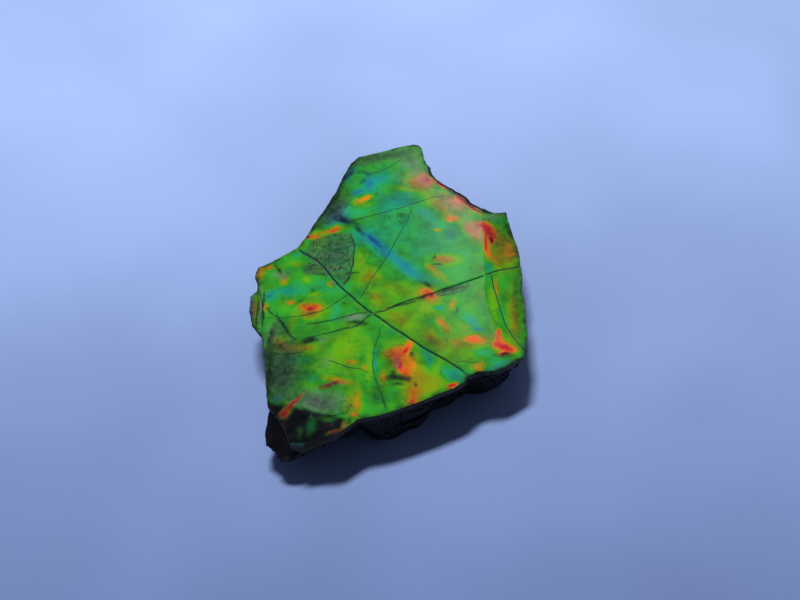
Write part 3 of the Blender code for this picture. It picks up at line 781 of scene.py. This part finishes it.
#   brightness from 0 to 1, then its strokes
LIGHTS = [
    (1.0, [(-1.2, 11.8, 60, 1.5, 1.1), (-3.0, 8.4, 15, 1.4, 0.8), (6.5, 1.8, 75, 3.0, 1.6),
           (7.3, -3.4, -60, 1.8, 1.2), (3.5, -2.8, 0, 1.4, 0.8), (8.6, -7.8, 0, 1.2, 0.6),
           (4.4, -9.7, 60, 1.2, 0.9), (9.7, -2.4, 90, 2.0, 0.5), (10.7, 0.5, 90, 1.2, 0.5),
           (-5.1, -3.4, 90, 1.0, 0.7), (-1.6, -9.2, 90, 2.6, 0.4), (-1.2, -13.5, 0, 1.2, 0.8),
           (-9.3, -3.2, 0, 1.2, 0.6), (-7.4, 0.2, 0, 2.0, 0.8), (3.8, -11.3, 30, 1.6, 1.0),
           (-2.3, 10.05, 30, 0.8, 0.4), (2.5, -9.4, -45, 0.8, 0.35), (7.8, -6.35, 0, 0.8, 0.4),
           (1.85, -7.1, 60, 0.6, 0.35), (6.7, 9.9, 30, 0.8, 0.5), (-3.0, -4.0, 15, 0.9, 0.25),
           (1.4, 1.9, -45, 2.0, 0.6), (-3.6, -7.0, 60, 2.6, 1.2), (3.0, -9.6, -45, 0.8, 0.3)]),
    (0.6, [(0.6, -8.4, 90, 1.0, 0.7), (2.3, -12.3, 75, 1.2, 0.7), (-9.0, -13.4, 45, 0.7, 0.4),
           (10.1, 5.0, 90, 1.0, 0.6), (10.4, 2.8, -60, 0.9, 0.5),
           (11.6, 3.9, 15, 0.9, 0.4), (3.7, -1.5, -30, 0.6, 0.5), (-7.2, -2.8, 0, 0.9, 0.3),
           (-5.0, 6.2, 15, 1.2, 0.4), (-7.0, 5.3, 0, 0.9, 0.4), (5.2, 2.6, 0, 1.0, 0.5)]),
    (0.4, [(10.9, 5.5, 90, 2.6, 1.6), (12.0, -2.0, 90, 5.0, 0.5), (-9.0, -8.4, 75, 3.2, 1.8),
            (-12.4, -2.8, 90, 2.2, 0.6), (-5.9, -13.0, -15, 2.2, 1.0), (5.9, -0.95, 15, 1.8, 0.45),
            (-7.1, -3.5, 0, 0.6, 0.35), (-9.6, -5.2, 75, 1.4, 0.8), (-5.2, 3.2, 75, 2.2, 1.6),
            (-5.2, 9.9, 60, 3.8, 0.7), (-0.4, 15.6, 15, 3.6, 0.5), (-7.6, -9.8, 75, 2.2, 0.9),
            (4.0, -6.8, -45, 1.4, 0.8), (-0.9, -12.2, 75, 1.4, 0.8), (-2.4, 15.2, 15, 2.4, 0.7),
            (0.2, -8.6, 90, 1.2, 0.6), (-2.3, 13.4, -30, 1.0, 0.3),
            (-2.5, 12.4, 60, 0.5, 0.3), (6.4, -3.2, 75, 0.5, 0.18), (-0.4, -12.8, -75, 1.3, 0.25),
            (-8.0, -12.5, 45, 0.9, 0.6), (-7.3, 1.5, 0, 1.1, 0.6),
            (1.3, 7.9, 0, 0.5, 0.25), (-8.1, -2.1, 45, 0.5, 0.15),
            (-10.6, -8.0, 90, 1.3, 0.6), (-2.4, -4.7, 0, 0.8, 0.4)]),
    (0.18, [(-5.2, 8.6, 60, 2.4, 0.8), (-4.3, 7.4, -30, 1.6, 0.6), (-2.8, 6.1, -60, 0.9, 0.28),
            (-3.9, 13.4, 60, 1.2, 0.4), (4.35, 2.9, 75, 0.4, 0.16), (4.6, 2.0, 0, 0.6, 0.15),
            (0.5, -10.0, 60, 0.5, 0.35), (1.4, -10.6, 0, 0.6, 0.3), (0.9, -11.2, 0, 0.7, 0.2),
            (2.2, -8.1, 60, 0.4, 0.3), (2.5, -11.2, 90, 0.3, 0.18), (-9.6, -10.0, 90, 3.6, 1.6),
            (1.2, -2.6, 15, 1.8, 0.2), (3.2, -1.75, 30, 0.8, 0.2), (5.6, -0.9, 15, 1.6, 0.2),
            (-10.2, -7.1, 15, 0.8, 0.4), (-7.2, -6.5, 15, 1.1, 0.4), (-3.3, 1.0, 0, 0.7, 0.15),
            (-3.85, 0.2, 60, 0.6, 0.13), (-10.35, 1.5, -60, 0.7, 0.15), (10.6, -7.95, 0, 0.9, 0.22),
            (-7.0, 6.6, 30, 1.4, 0.3), (-2.9, -4.6, 0, 0.8, 0.22), (-9.7, -4.6, -60, 1.6, 0.2),
            (-5.1, -11.15, 15, 1.2, 0.3), (11.6, 6.6, -75, 1.6, 0.3), (-10.7, -5.8, 75, 1.6, 0.4),
            (6.2, 11.0, -45, 1.8, 0.2), (7.9, 9.3, -45, 1.4, 0.2)]),
    (0.05, [(3.7, -0.35, -30, 0.8, 0.3), (0.7, -10.5, 0, 1.2, 0.45), (9.3, 8.7, 0, 0.8, 0.22),
            (-12.15, -3.0, 90, 2.2, 0.1), (-11.6, -3.0, 90, 2.4, 0.14), (-4.2, 7.2, -15, 1.0, 0.16),
            (-10.7, -10.0, 90, 3.4, 0.4), (-7.8, 5.9, 60, 2.2, 0.3), (-6.0, 9.0, 60, 2.2, 0.45),
            (-4.9, 11.8, 75, 2.4, 0.45), (-3.8, 14.6, 60, 1.4, 0.35), (-7.2, -6.5, 15, 0.7, 0.25)]),
]
#   brightness of what is left on the worn corner, then its strokes
REMNANTS = [
    (0.5, [(-3.9, -15.3, 75, 0.5, 0.3), (-9.1, -13.6, 30, 0.7, 0.5)]),
    (0.25, [(-5.3, -14.6, 0, 0.8, 0.35), (-6.8, -15.2, 75, 0.8, 0.5), (-4.7, -15.8, 15, 0.8, 0.2),
            (-8.2, -16.6, 0, 0.8, 0.2), (-3.5, -14.8, 60, 0.5, 0.3)]),
    (0.12, [(-7.8, -15.6, 90, 0.6, 0.3), (-4.1, -15.9, 0, 0.4, 0.2)]),
]
#     share of milky grey, then its strokes; some of it is painted reflection of the sky in the dish and upper
#     right
MILK_AND_REFLECTED_HAZE = [
    (0.9, [(-6.2, -13.0, -15, 2.2, 1.1), (-12.6, -2.8, 90, 2.0, 0.16), (-3.0, -4.0, 15, 1.2, 0.4),
           (-11.9, -2.6, 90, 2.0, 0.14), (-5.2, -0.1, 0, 0.3, 0.2)]),
    (0.55, [(3.3, 12.6, -60, 1.6, 1.1), (6.3, 9.4, -45, 2.2, 1.0), (8.2, 6.3, -60, 1.6, 0.9),
            (-10.1, 0.9, 0, 0.9, 0.5), (9.9, 8.1, 30, 1.2, 0.5), (2.2, 14.8, -60, 2.2, 1.2),
            (-9.6, -10.0, 90, 3.4, 1.6), (-10.6, -5.6, 75, 1.4, 0.7), (-5.1, 8.6, 60, 2.0, 0.9)]),
    (0.45, [(-4.9, -12.4, 0, 1.2, 0.6), (0.8, -8.8, 90, 0.9, 0.4), (-0.8, 15.7, 15, 4.0, 0.9),
            (11.2, 8.6, 0, 0.8, 0.3), (-6.0, -6.4, 0, 0.6, 0.3), (-5.0, -11.2, 15, 1.2, 0.3)]),
    (0.28, [(1.4, 12.4, -60, 1.8, 0.8), (-5.6, -8.8, 45, 0.8, 0.4), (6.0, -1.0, 15, 1.8, 0.35)]),
]


def number_of(strokes):
    return sum(len(shapes) for _, shapes in strokes)


print(number_of(FIELDS), "fields,", number_of(FLASHES), "flashes,", number_of(LIGHTS), "lights and shades,",
      number_of(MILK_AND_REFLECTED_HAZE), "milky places")

# %% [markdown]
# The position is first measured along twelve directions, once for all strokes. Then a stroke is four
# nodes: a Multiply Add that moves the ellipse to the origin and divides by its size, the length of that
# vector, a Map Range that turns the distance into a soft mask, and a Mix. Flashes are painted on a
# position with a rougher bend, which frays them, and their masks are cones, so a red one has an orange
# and a yellow ring.

# %% Brush strokes
TURN_STEP = 15
STROKE_FADE = 1.5
SLOW_BEND = [(0.7, 0.28), (2.6, 0.12)]
ROUGH_BEND = [(0.9, 0.2), (2.4, 0.14)]


def turned_places(tree, place):
    """The position measured along and across each of twelve directions."""
    turned = {}
    for turn in range(0, 180, TURN_STEP):
        cosine, sine = math.cos(math.radians(turn)), math.sin(math.radians(turn))
        along = calc_vector(tree, "DOT_PRODUCT", place, (cosine, sine, 0.0), "Value")
        across = calc_vector(tree, "DOT_PRODUCT", place, (-sine, cosine, 0.0), "Value")
        turned[turn] = add_node(tree, "ShaderNodeCombineXYZ", {"X": along, "Y": across}).outputs[0]
    return turned


def brush(tree, turned, under, value, shape, strength, curve):
    """One stroke: an ellipse inside which the number under it is pulled to a value."""
    x, y, turn, reach, breadth = shape
    cosine, sine = math.cos(math.radians(turn)), math.sin(math.radians(turn))
    if turn < 0:
        cosine, sine = -cosine, -sine
    along, across = 1 / (reach * STROKE_FADE), 1 / (breadth * STROKE_FADE)
    start = (-(x * cosine + y * sine) * along, (x * sine - y * cosine) * across, 0.0)
    inputs = {0: turned[turn % 180], 1: (along, across, 0.0), 2: start}
    local = add_node(tree, "ShaderNodeVectorMath", inputs, operation="MULTIPLY_ADD").outputs[0]
    away = add_node(tree, "ShaderNodeVectorMath", {0: local}, operation="LENGTH").outputs["Value"]
    return blend_value(tree, rescale(tree, away, 1.0, 0.0, 0.0, strength, curve), under, value)


def paint(tree, turned, under, strokes, strength=1.0, curve="SMOOTHSTEP"):
    for value, shapes in strokes:
        if value in HUES:
            value = HUES[value][0]
        for shape in shapes:
            under = brush(tree, turned, under, value, shape, strength, curve)
    return under


def bent_place(tree, place, bends):
    """The position, shifted by slow and fast noise, so that strokes get irregular outlines."""
    for scale, amount in bends:
        moved = calc_vector(tree, "ADD", place, (9 * scale, 5 * scale, 0.0))
        cloud = add_node(tree, "ShaderNodeTexNoise", {"Vector": moved, "Scale": scale, "Detail": 1.0})
        centred = calc_vector(tree, "SUBTRACT", cloud.outputs["Color"], (0.5, 0.5, 0.5))
        shift = calc_vector(tree, "MULTIPLY", centred, (2 * amount, 2 * amount, 0.0))
        place = calc_vector(tree, "ADD", place, shift)
    return place


print("strokes turn in steps of", TURN_STEP, "degrees")

# %% [markdown]
# The number becomes a hue, and then the hue is dimmed. Milky calcite greys it in places, and the same grey
# paints a reflection of the sky in the chipped dish and along the upper right rim. Dirt darkens it, mostly
# where it is already in the shade, and spares the bright areas. The worn corner keeps only a few remnants
# of it, and it turns dark brown towards the broken rim.

# %% Colour of the nacre
FIELD_STRENGTH = 0.95
FLASH_STRENGTH = 1.3
HUE_DRIFT = [(0.35, 0.14), (1.0, 0.16), (3.5, 0.05)]
DIRT_SPARES = 1.25
MILK_AND_HAZE_GREY, DARK_SHELL, RIM_BROWN = (118, 130, 120), (14, 14, 18), (30, 22, 20)
RIM_BROWN_FALL, RIM_BROWN_STRENGTH = 3.0, 0.85


def layer_thickness(tree, place, slow, rough):
    thickness = paint(tree, slow, HUES["green"][0], FIELDS, FIELD_STRENGTH)
    for scale, amount in HUE_DRIFT:
        swing = calc(tree, "SUBTRACT", mottle(tree, place, scale, 2.0), 0.5)
        thickness = calc(tree, "ADD", thickness, calc(tree, "MULTIPLY", swing, amount))
    return paint(tree, rough, thickness, FLASHES, FLASH_STRENGTH, "LINEAR")


def brightness(tree, place, rough):
    glow = paint(tree, rough, mottled(tree, place, "cloudy light"), LIGHTS)
    spared = calc(tree, "MULTIPLY", glow, DIRT_SPARES, clamp=True)
    dirt = blend_value(tree, spared, mottled(tree, place, "dirt"), 1.0)
    glow = calc(tree, "MULTIPLY", glow, dirt, clamp=True)
    glow = blend_value(tree, mark(tree, "worn"), glow, 0.0)
    return paint(tree, rough, glow, REMNANTS)


def nacre_colour(tree):
    place = place_in_mm(tree)
    slow = turned_places(tree, bent_place(tree, place, SLOW_BEND))
    rough = turned_places(tree, bent_place(tree, place, ROUGH_BEND))
    colour = colour_ramp(tree, layer_thickness(tree, place, slow, rough), HUES.values())
    # milky calcite grey, which also paints the reflected sky haze in the dish and along the upper right rim
    colour = blend_colour(tree, paint(tree, slow, 0.0, MILK_AND_REFLECTED_HAZE), colour, linear(*MILK_AND_HAZE_GREY))
    colour = blend_colour(tree, brightness(tree, place, rough), linear(*DARK_SHELL), colour)
    # the face turns dark brown towards its broken rim
    brink = calc(tree, "POWER", mark(tree, "brink"), RIM_BROWN_FALL)
    ragged = calc(tree, "MULTIPLY", brink, mottled(tree, place, "ragged brown"), clamp=True)
    return place, tint(tree, colour, ragged, RIM_BROWN_STRENGTH, RIM_BROWN)


print("hues:", ", ".join(HUES))

# %% [markdown]
# One patch on the left is etched into small cells with dark lines between them. A Voronoi texture
# gives such cells, a bend makes them ragged, and noise frays the patch and breaks its lines. Healed
# fractures and hairlines are stained dark. Clear mineral covers all of it, so the gloss is a coat.

# %% Nacre material
CELL_BEND = [(2.2, 0.3), (5.0, 0.12)]
CELLS_PER_MM = 2.6
CRUST_GREEN, CRUST_GREY, CRUST_SHARE = (44, 84, 54), (96, 104, 84), 0.45
#   strength, colour
CELL_LINES = (0.8, (32, 38, 36))
HAIRLINE_STAIN = (0.6, (26, 34, 36))
FRACTURE_STAIN = (0.9, (26, 32, 42))
SPECKS = (0.5, (30, 34, 30))
HAIRLINE_WIDTH = 0.012
STAIN_FALL = 0.45
WORN_ROUGHNESS = 0.6
COAT = {"Coat Weight": 1.0, "Coat Roughness": 0.14, "Coat IOR": 1.45, "Specular IOR Level": 0.0}


def etched_cells(tree, place):
    """Ragged cells with dark lines between them: how strong the lines are, and a shade for each cell."""
    inputs = {"Vector": bent_place(tree, place, CELL_BEND), "Scale": CELLS_PER_MM}
    gap = add_node(tree, "ShaderNodeTexVoronoi", inputs, feature="DISTANCE_TO_EDGE").outputs["Distance"]
    cell = add_node(tree, "ShaderNodeTexVoronoi", inputs).outputs["Color"]
    net = rescale(tree, gap, 0.12, 0.01)
    gaps = mottled(tree, place, "breaks in the cell lines")
    shade = add_node(tree, "ShaderNodeSeparateColor", {0: cell}).outputs[0]
    frayed = calc(tree, "ADD", mark(tree, "etched"), mottle(tree, place, 1.8, 3.0, 0.6, 25.0))
    patch = rescale(tree, frayed, 0.7, 1.05)
    border = calc(tree, "MULTIPLY", calc(tree, "MULTIPLY", patch, calc(tree, "SUBTRACT", 1.0, patch)), 1.6)
    inner = calc(tree, "MULTIPLY", calc(tree, "MULTIPLY", net, gaps), patch)
    return calc(tree, "MAXIMUM", inner, border), shade, patch


def hairlines(tree, place):
    """Thin lines that wander where a noise passes its middle value, in some places only."""
    bent = bent_place(tree, place, ROUGH_BEND)
    level = calc(tree, "ABSOLUTE", calc(tree, "SUBTRACT", mottle(tree, bent, 0.6, 3.0, 0.6, 17.0), 0.5))
    places = mottled(tree, place, "places with hairlines")
    return calc(tree, "MULTIPLY", rescale(tree, level, HAIRLINE_WIDTH, 0.0), places, clamp=True)


def make_nacre():
    material, tree, surface = new_material("polished_nacre")
    place, colour = nacre_colour(tree)
    net, shade, patch = etched_cells(tree, place)
    crust = blend_colour(tree, shade, linear(*CRUST_GREEN), linear(*CRUST_GREY))
    colour = blend_colour(tree, calc(tree, "MULTIPLY", patch, CRUST_SHARE), colour, crust)
    colour = tint(tree, colour, net, *CELL_LINES)
    colour = tint(tree, colour, hairlines(tree, place), *HAIRLINE_STAIN)
    soaked = calc(tree, "POWER", mark(tree, "fracture"), STAIN_FALL)
    stain = calc(tree, "MULTIPLY", soaked, mottled(tree, place, "uneven stain"))
    colour = tint(tree, colour, stain, *FRACTURE_STAIN)
    colour = tint(tree, colour, mottled(tree, place, "specks"), *SPECKS)
    tree.links.new(colour, surface.inputs["Base Color"])
    rough = mottled(tree, place, "roughness under the coat")
    rough = blend_value(tree, mark(tree, "worn"), rough, WORN_ROUGHNESS)
    tree.links.new(rough, surface.inputs["Roughness"])
    for key, value in COAT.items():
        surface.inputs[key].default_value = value
    add_bump(tree, surface, net, 0.15, 0.03, invert=True)
    return material


nacre = make_nacre()
print("nacre of", len(nacre.node_tree.nodes), "nodes")

# %% [markdown]
# Where the shell is broken, its layers show edge-on. They are dark and dull, with thin bands that still
# flash red or green. The bands are noise stretched along the wall, so it is squeezed in height only.

# %% Broken nacre edge
LAYER_SQUEEZE = (0.6, 0.6, 9.0)
LAYER_STOPS = [(0.30, (14, 12, 14)), (0.46, (32, 26, 22)), (0.54, (30, 38, 24)), (0.60, (58, 28, 22)),
               (0.72, (48, 48, 38))]


def make_broken_nacre():
    material, tree, surface = new_material("broken_nacre")
    place = place_in_mm(tree, flat=False)
    bands = mottle(tree, calc_vector(tree, "MULTIPLY", place, LAYER_SQUEEZE), 1.0, 3.0, 0.6)
    tree.links.new(colour_ramp(tree, bands, LAYER_STOPS), surface.inputs["Base Color"])
    tree.links.new(rescale(tree, bands, 0.3, 0.7, 0.35, 0.7), surface.inputs["Roughness"])
    grain = mottle(tree, place, 7.0, 3.0, 0.6, 12.0)
    add_bump(tree, surface, calc(tree, "ADD", bands, grain), 0.5, 0.05)
    return material


broken_nacre = make_broken_nacre()
shell.data.materials.append(nacre)
shell.data.materials.append(broken_nacre)
print("broken nacre ready")

# %% [markdown]
# Shale is compacted mud, almost black here, with a dull earthy face, thin beds and a few grains that
# catch the light. The beds are noise that hardly changes sideways and changes fast in height.

# %% Shale material
BED_SQUEEZE = (0.35, 0.35, 3.2)


def make_shale_material(name, dark, middle, pale):
    material, tree, surface = new_material(name)
    place = place_in_mm(tree, flat=False)
    beds = mottle(tree, calc_vector(tree, "MULTIPLY", place, BED_SQUEEZE), 1.0, 4.0, 0.6)
    colour = blend_colour(tree, rescale(tree, beds, 0.4, 0.62), linear(*dark), linear(*middle))
    colour = blend_colour(tree, mottled(tree, place, "shale blotches"), colour, linear(*pale))
    tree.links.new(colour, surface.inputs["Base Color"])
    tree.links.new(mottled(tree, place, "shale glints"), surface.inputs["Roughness"])
    grain = calc(tree, "ADD", mottle(tree, place, 4.0, 6.0, 0.7, 55.0), calc(tree, "MULTIPLY", beds, 0.7))
    add_bump(tree, surface, grain, 0.7, 0.08)
    return material


shale_material = make_shale_material("dark_shale_rough", (9, 8, 11), (18, 16, 17), (27, 26, 30))
shale.data.materials.append(shale_material)
print("shale material ready")

# %% [markdown]
# Two kinds of detail are left to Geometry Nodes, because they repeat or follow a path. Each is a small
# tree with named inputs. A helper makes the tree, one ends it, one shakes points by noise, and one
# runs the tree on an object and keeps what it makes as a plain mesh.

# %% Geometry Nodes helpers
def new_group(name, settings):
    group = bpy.data.node_groups.new(name, "GeometryNodeTree")
    group.interface.new_socket("Geometry", in_out="INPUT", socket_type="NodeSocketGeometry")
    for key, value in settings.items():
        kind = "NodeSocketInt" if isinstance(value, int) else "NodeSocketFloat"
        group.interface.new_socket(key, in_out="INPUT", socket_type=kind)
    group.interface.new_socket("Material", in_out="INPUT", socket_type="NodeSocketMaterial")
    group.interface.new_socket("Geometry", in_out="OUTPUT", socket_type="NodeSocketGeometry")
    return group, group.nodes.new("NodeGroupInput").outputs


def shaken(group, geometry, scale, amount):
    """Shift every point by noise; scale is bumps per metre and amount is in metres."""
    cloud = add_node(group, "ShaderNodeTexNoise", {"Scale": scale}).outputs["Color"]
    centred = calc_vector(group, "SUBTRACT", cloud, (0.5, 0.5, 0.5))
    offset = add_node(group, "ShaderNodeVectorMath", {0: centred, "Scale": amount}, operation="SCALE")
    moved = {"Geometry": geometry, "Offset": offset.outputs[0]}
    return add_node(group, "GeometryNodeSetPosition", moved).outputs[0]


def end_group(group, inputs, geometry):
    real = add_node(group, "GeometryNodeRealizeInstances", {"Geometry": geometry}).outputs[0]
    dressed = add_node(group, "GeometryNodeSetMaterial", {"Geometry": real, "Material": inputs["Material"]})
    group.links.new(dressed.outputs[0], group.nodes.new("NodeGroupOutput").inputs[0])


def run_group(name, data, group, settings):
    """Run the tree on a mesh and keep what it makes."""
    piece = add_object(name, data)
    modifier = piece.modifiers.new(group.name, "NODES")
    modifier.node_group = group
    for socket in group.interface.items_tree:
        if socket.name in settings:
            modifier[socket.identifier] = settings[socket.name]
    made = bpy.data.meshes.new_from_object(piece.evaluated_get(bpy.context.evaluated_depsgraph_get()))
    piece.modifiers.remove(modifier)
    piece.data = made
    return piece


print("tree helpers ready")

# %% [markdown]
# The open fractures hold a thread of dark mineral. Points in the bottom of each groove become a curve,
# which is spaced evenly and given a slight wander. A small ring is swept along it, as wide as an
# attribute on the points says, and noise roughens the thread.

# %% Mineral in the open fractures
THREAD_SHARE = 0.4
THREAD_SUNK = 0.01
THREAD_CLEAR_OF_RIM = 0.15
SLOW_BUMPS, FINE_BUMPS = 900.0, 7000.0
VEIN = {"Step": 0.12 * MM, "Wander": 0.03 * MM, "Roughness": 0.035 * MM, "Sides": 6}


def vein_paths():
    """The grooves' centre lines as a mesh of edges, with the radius of the thread on each point."""
    points, edges, radii = [], [], []
    for line, half_width, depth in fracture_lines.values():
        if depth == 0.0:
            continue
        x, y = np.array(line).T
        from_rim = distance_to(x, y, FACE_EDGE + FACE_EDGE[:1])
        kept = inside_of(x, y, FACE_EDGE) & (from_rim > THREAD_CLEAR_OF_RIM)
        radius = THREAD_SHARE * half_width
        z = smooth_face(x, y) - radius - THREAD_SUNK
        first = len(points)
        points += [(a * MM, b * MM, c * MM) for a, b, c in zip(x[kept], y[kept], z[kept])]
        edges += [(k, k + 1) for k in range(first, len(points) - 1)]
        radii += [radius * MM] * (len(points) - first)
    data = bpy.data.meshes.new("vein_paths")
    data.from_pydata(points, edges, [])
    data.attributes.new("thread", "FLOAT", "POINT").data.foreach_set("value", radii)
    return data


def vein_group():
    group, inputs = new_group("vein_fill", VEIN)
    curve = add_node(group, "GeometryNodeMeshToCurve", {"Mesh": inputs["Geometry"]}).outputs[0]
    spacing = {"Curve": curve, "Length": inputs["Step"]}
    even = add_node(group, "GeometryNodeResampleCurve", spacing, mode="LENGTH")
    path = shaken(group, even.outputs[0], SLOW_BUMPS, inputs["Wander"])
    ring = add_node(group, "GeometryNodeCurvePrimitiveCircle", {"Resolution": inputs["Sides"], "Radius": 1.0})
    radius = add_node(group, "GeometryNodeInputNamedAttribute", {"Name": "thread"}, data_type="FLOAT")
    sweep = {"Curve": path, "Profile Curve": ring.outputs[0], "Scale": radius.outputs[0], "Fill Caps": True}
    tube = add_node(group, "GeometryNodeCurveToMesh", sweep).outputs[0]
    rough = shaken(group, tube, FINE_BUMPS, inputs["Roughness"])
    end_group(group, inputs, add_node(group, "GeometryNodeSetShadeSmooth", {"Geometry": rough}).outputs[0])
    return group


vein_material = make_shale_material("vein_mineral", (26, 30, 48), (42, 50, 76), (70, 82, 108))
vein = run_group("vein_fill", vein_paths(), vein_group(), {**VEIN, "Material": vein_material})
print("thread of", len(vein.data.polygons), "faces")

# %% [markdown]
# Crumbs of shale cling to the broken walls. Points are scattered on the steep faces only, clear of the
# foot, and each takes a twenty-sided grain of its own size and turn. The seeds are fixed, so the
# crumbs are the same in every run.

# %% Crumbs on the broken walls
GRIT = {"Grain": 0.16 * MM, "Per Square Metre": 4.5e6, "Steep Below": 0.55, "Foot": 0.3 * MM, "Seed": 7}
SMALLEST, LARGEST = (0.25, 0.25, 0.15), (1.0, 1.0, 0.6)
TURN_FROM, TURN_TO = (-0.5, -0.5, 0.0), (0.5, 0.5, 6.28)


def height_part(group, kind):
    """The Z part of an input field such as the normal or the position."""
    field = add_node(group, kind).outputs[0]
    return add_node(group, "ShaderNodeSeparateXYZ", {0: field}).outputs["Z"]


def random_vector(group, low, high, seed):
    limits = {0: low, 1: high, "Seed": seed}
    return add_node(group, "FunctionNodeRandomValue", limits, data_type="FLOAT_VECTOR").outputs[0]


def grit_group():
    group, inputs = new_group("shale_grit", GRIT)
    flatness = calc(group, "ABSOLUTE", height_part(group, "GeometryNodeInputNormal"))
    steep = calc(group, "LESS_THAN", flatness, inputs["Steep Below"])
    raised = calc(group, "GREATER_THAN", height_part(group, "GeometryNodeInputPosition"), inputs["Foot"])
    spread = {"Mesh": inputs["Geometry"], "Selection": calc(group, "MULTIPLY", steep, raised),
              "Density": inputs["Per Square Metre"], "Seed": inputs["Seed"]}
    points = add_node(group, "GeometryNodeDistributePointsOnFaces", spread).outputs["Points"]
    ball = add_node(group, "GeometryNodeMeshIcoSphere", {"Radius": inputs["Grain"], "Subdivisions": 1})
    sizes = random_vector(group, SMALLEST, LARGEST, inputs["Seed"])
    turns = random_vector(group, TURN_FROM, TURN_TO, inputs["Seed"])
    placed = {"Points": points, "Instance": ball.outputs[0], "Rotation": turns, "Scale": sizes}
    end_group(group, inputs, add_node(group, "GeometryNodeInstanceOnPoints", placed).outputs[0])
    return group


grit_material = make_shale_material("shale_crumbs", (12, 11, 13), (24, 21, 21), (44, 42, 44))
grit = run_group("shale_grit", shale.data.copy(), grit_group(), {**GRIT, "Material": grit_material})
print("crumbs of", len(grit.data.polygons), "faces")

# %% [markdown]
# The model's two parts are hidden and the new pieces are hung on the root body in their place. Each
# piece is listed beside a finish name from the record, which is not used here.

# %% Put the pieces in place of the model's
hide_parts("iridescent_shell")
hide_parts("shale_matrix")
finishes = [(shell, "iridescent_nacre"), (shale, "dark_shale"), (vein, "dark_shale"), (grit, "dark_shale")]
for piece, finish in finishes:
    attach(piece, "root")
print("pieces placed")

# %% [markdown]
# The piece lies on pale paper. Its colour holds painted shade and light: it fades from a lit far side
# to a darker near one, and slow clouds of noise paint soft patches of light and shade. A slight bump gives it
# fibres.

# %% Paper floor
PAPER_HALF = 1.5
PAPER_NEAR_SHADED, PAPER_FAR_LIT = (106, 124, 172), (176, 200, 248)
PAPER_SHADE_FADE = 60.0


def make_paper():
    material, tree, surface = new_material("pale_paper")
    place = place_in_mm(tree)
    depth = add_node(tree, "ShaderNodeSeparateXYZ", {0: place}).outputs["Y"]
    # painted shade: the near side of the paper is darker than the far side
    painted_falloff = rescale(tree, depth, -PAPER_SHADE_FADE, PAPER_SHADE_FADE)
    colour = blend_colour(tree, painted_falloff, linear(*PAPER_NEAR_SHADED), linear(*PAPER_FAR_LIT))
    colour = blend_colour(tree, 1.0, colour, mottled(tree, place, "paper painted light"), "MULTIPLY")
    tree.links.new(colour, surface.inputs["Base Color"])
    surface.inputs["Roughness"].default_value = 0.85
    add_bump(tree, surface, mottle(tree, place, 0.9, 6.0), 0.15, 0.2)
    return material


def make_floor():
    corners = [(x * PAPER_HALF, y * PAPER_HALF, 0) for x, y in ((-1, -1), (1, -1), (1, 1), (-1, 1))]
    data = bpy.data.meshes.new("floor")
    data.from_pydata(corners, [], [(0, 1, 2, 3)])
    data.materials.append(make_paper())
    return add_object("floor", data)


make_floor()
print("paper", 2 * PAPER_HALF, "m wide")

# %% [markdown]
# One broad light behind and above the piece throws the short shadow towards the viewer. A second panel
# stands where the polished face mirrors it into the camera, and that is the pale veil on the right
# half of the face, which ends at the crease. The sky is soft, and brighter behind the piece.

# %% Lights and sky
#   place, target, width and height in metres, power in watts, colour
BROAD_LIGHT = ((-0.040, 0.075, 0.285), (0, 0, 0), 0.07, 0.03, 0.84, (0.97, 0.98, 1.0))
SKY_PANEL = ((0.053, 0.318, 0.383), (0.004, 0.002, 0.006), 0.056, 0.17, 0.055, (0.9, 0.95, 1.0))
SKY_PANEL_TURN = 15
SKY_COLOUR = (0.62, 0.72, 1.0, 1.0)
SKY_IN_FRONT, SKY_BEHIND = 0.07, 0.24


def add_panel(name, place, target, width, height, power, colour):
    data = bpy.data.lights.new(name, "AREA")
    data.shape = "RECTANGLE"
    data.size, data.size_y = width, height
    data.energy = power
    data.color = colour
    lamp = add_object(name, data)
    lamp.location = place
    lamp.rotation_euler = (Vector(target) - Vector(place)).to_track_quat("-Z", "Y").to_euler()
    return lamp


def make_sky():
    """Soft light from behind the piece; the viewer stands in the way of it in front."""
    world = bpy.data.worlds.new("soft_sky")
    world.use_nodes = True
    tree = world.node_tree
    direction = add_node(tree, "ShaderNodeTexCoord").outputs["Generated"]
    ahead = add_node(tree, "ShaderNodeSeparateXYZ", {0: direction}).outputs["Y"]
    span = {"Value": ahead, "From Min": -0.5, "From Max": 0.5, "To Min": SKY_IN_FRONT, "To Max": SKY_BEHIND}
    strength = add_node(tree, "ShaderNodeMapRange", span).outputs[0]
    tree.links.new(strength, tree.nodes["Background"].inputs["Strength"])
    tree.nodes["Background"].inputs["Color"].default_value = SKY_COLOUR
    return world


broad_light = add_panel("broad_light", *BROAD_LIGHT)
broad_light.visible_glossy = False
sky_panel = add_panel("sky_panel", *SKY_PANEL)
sky_panel.rotation_euler.rotate_axis("Z", math.radians(SKY_PANEL_TURN))
bpy.context.scene.world = make_sky()
bpy.context.scene.view_settings.view_transform = "Standard"
print("lights:", [light.name for light in bpy.data.lights])
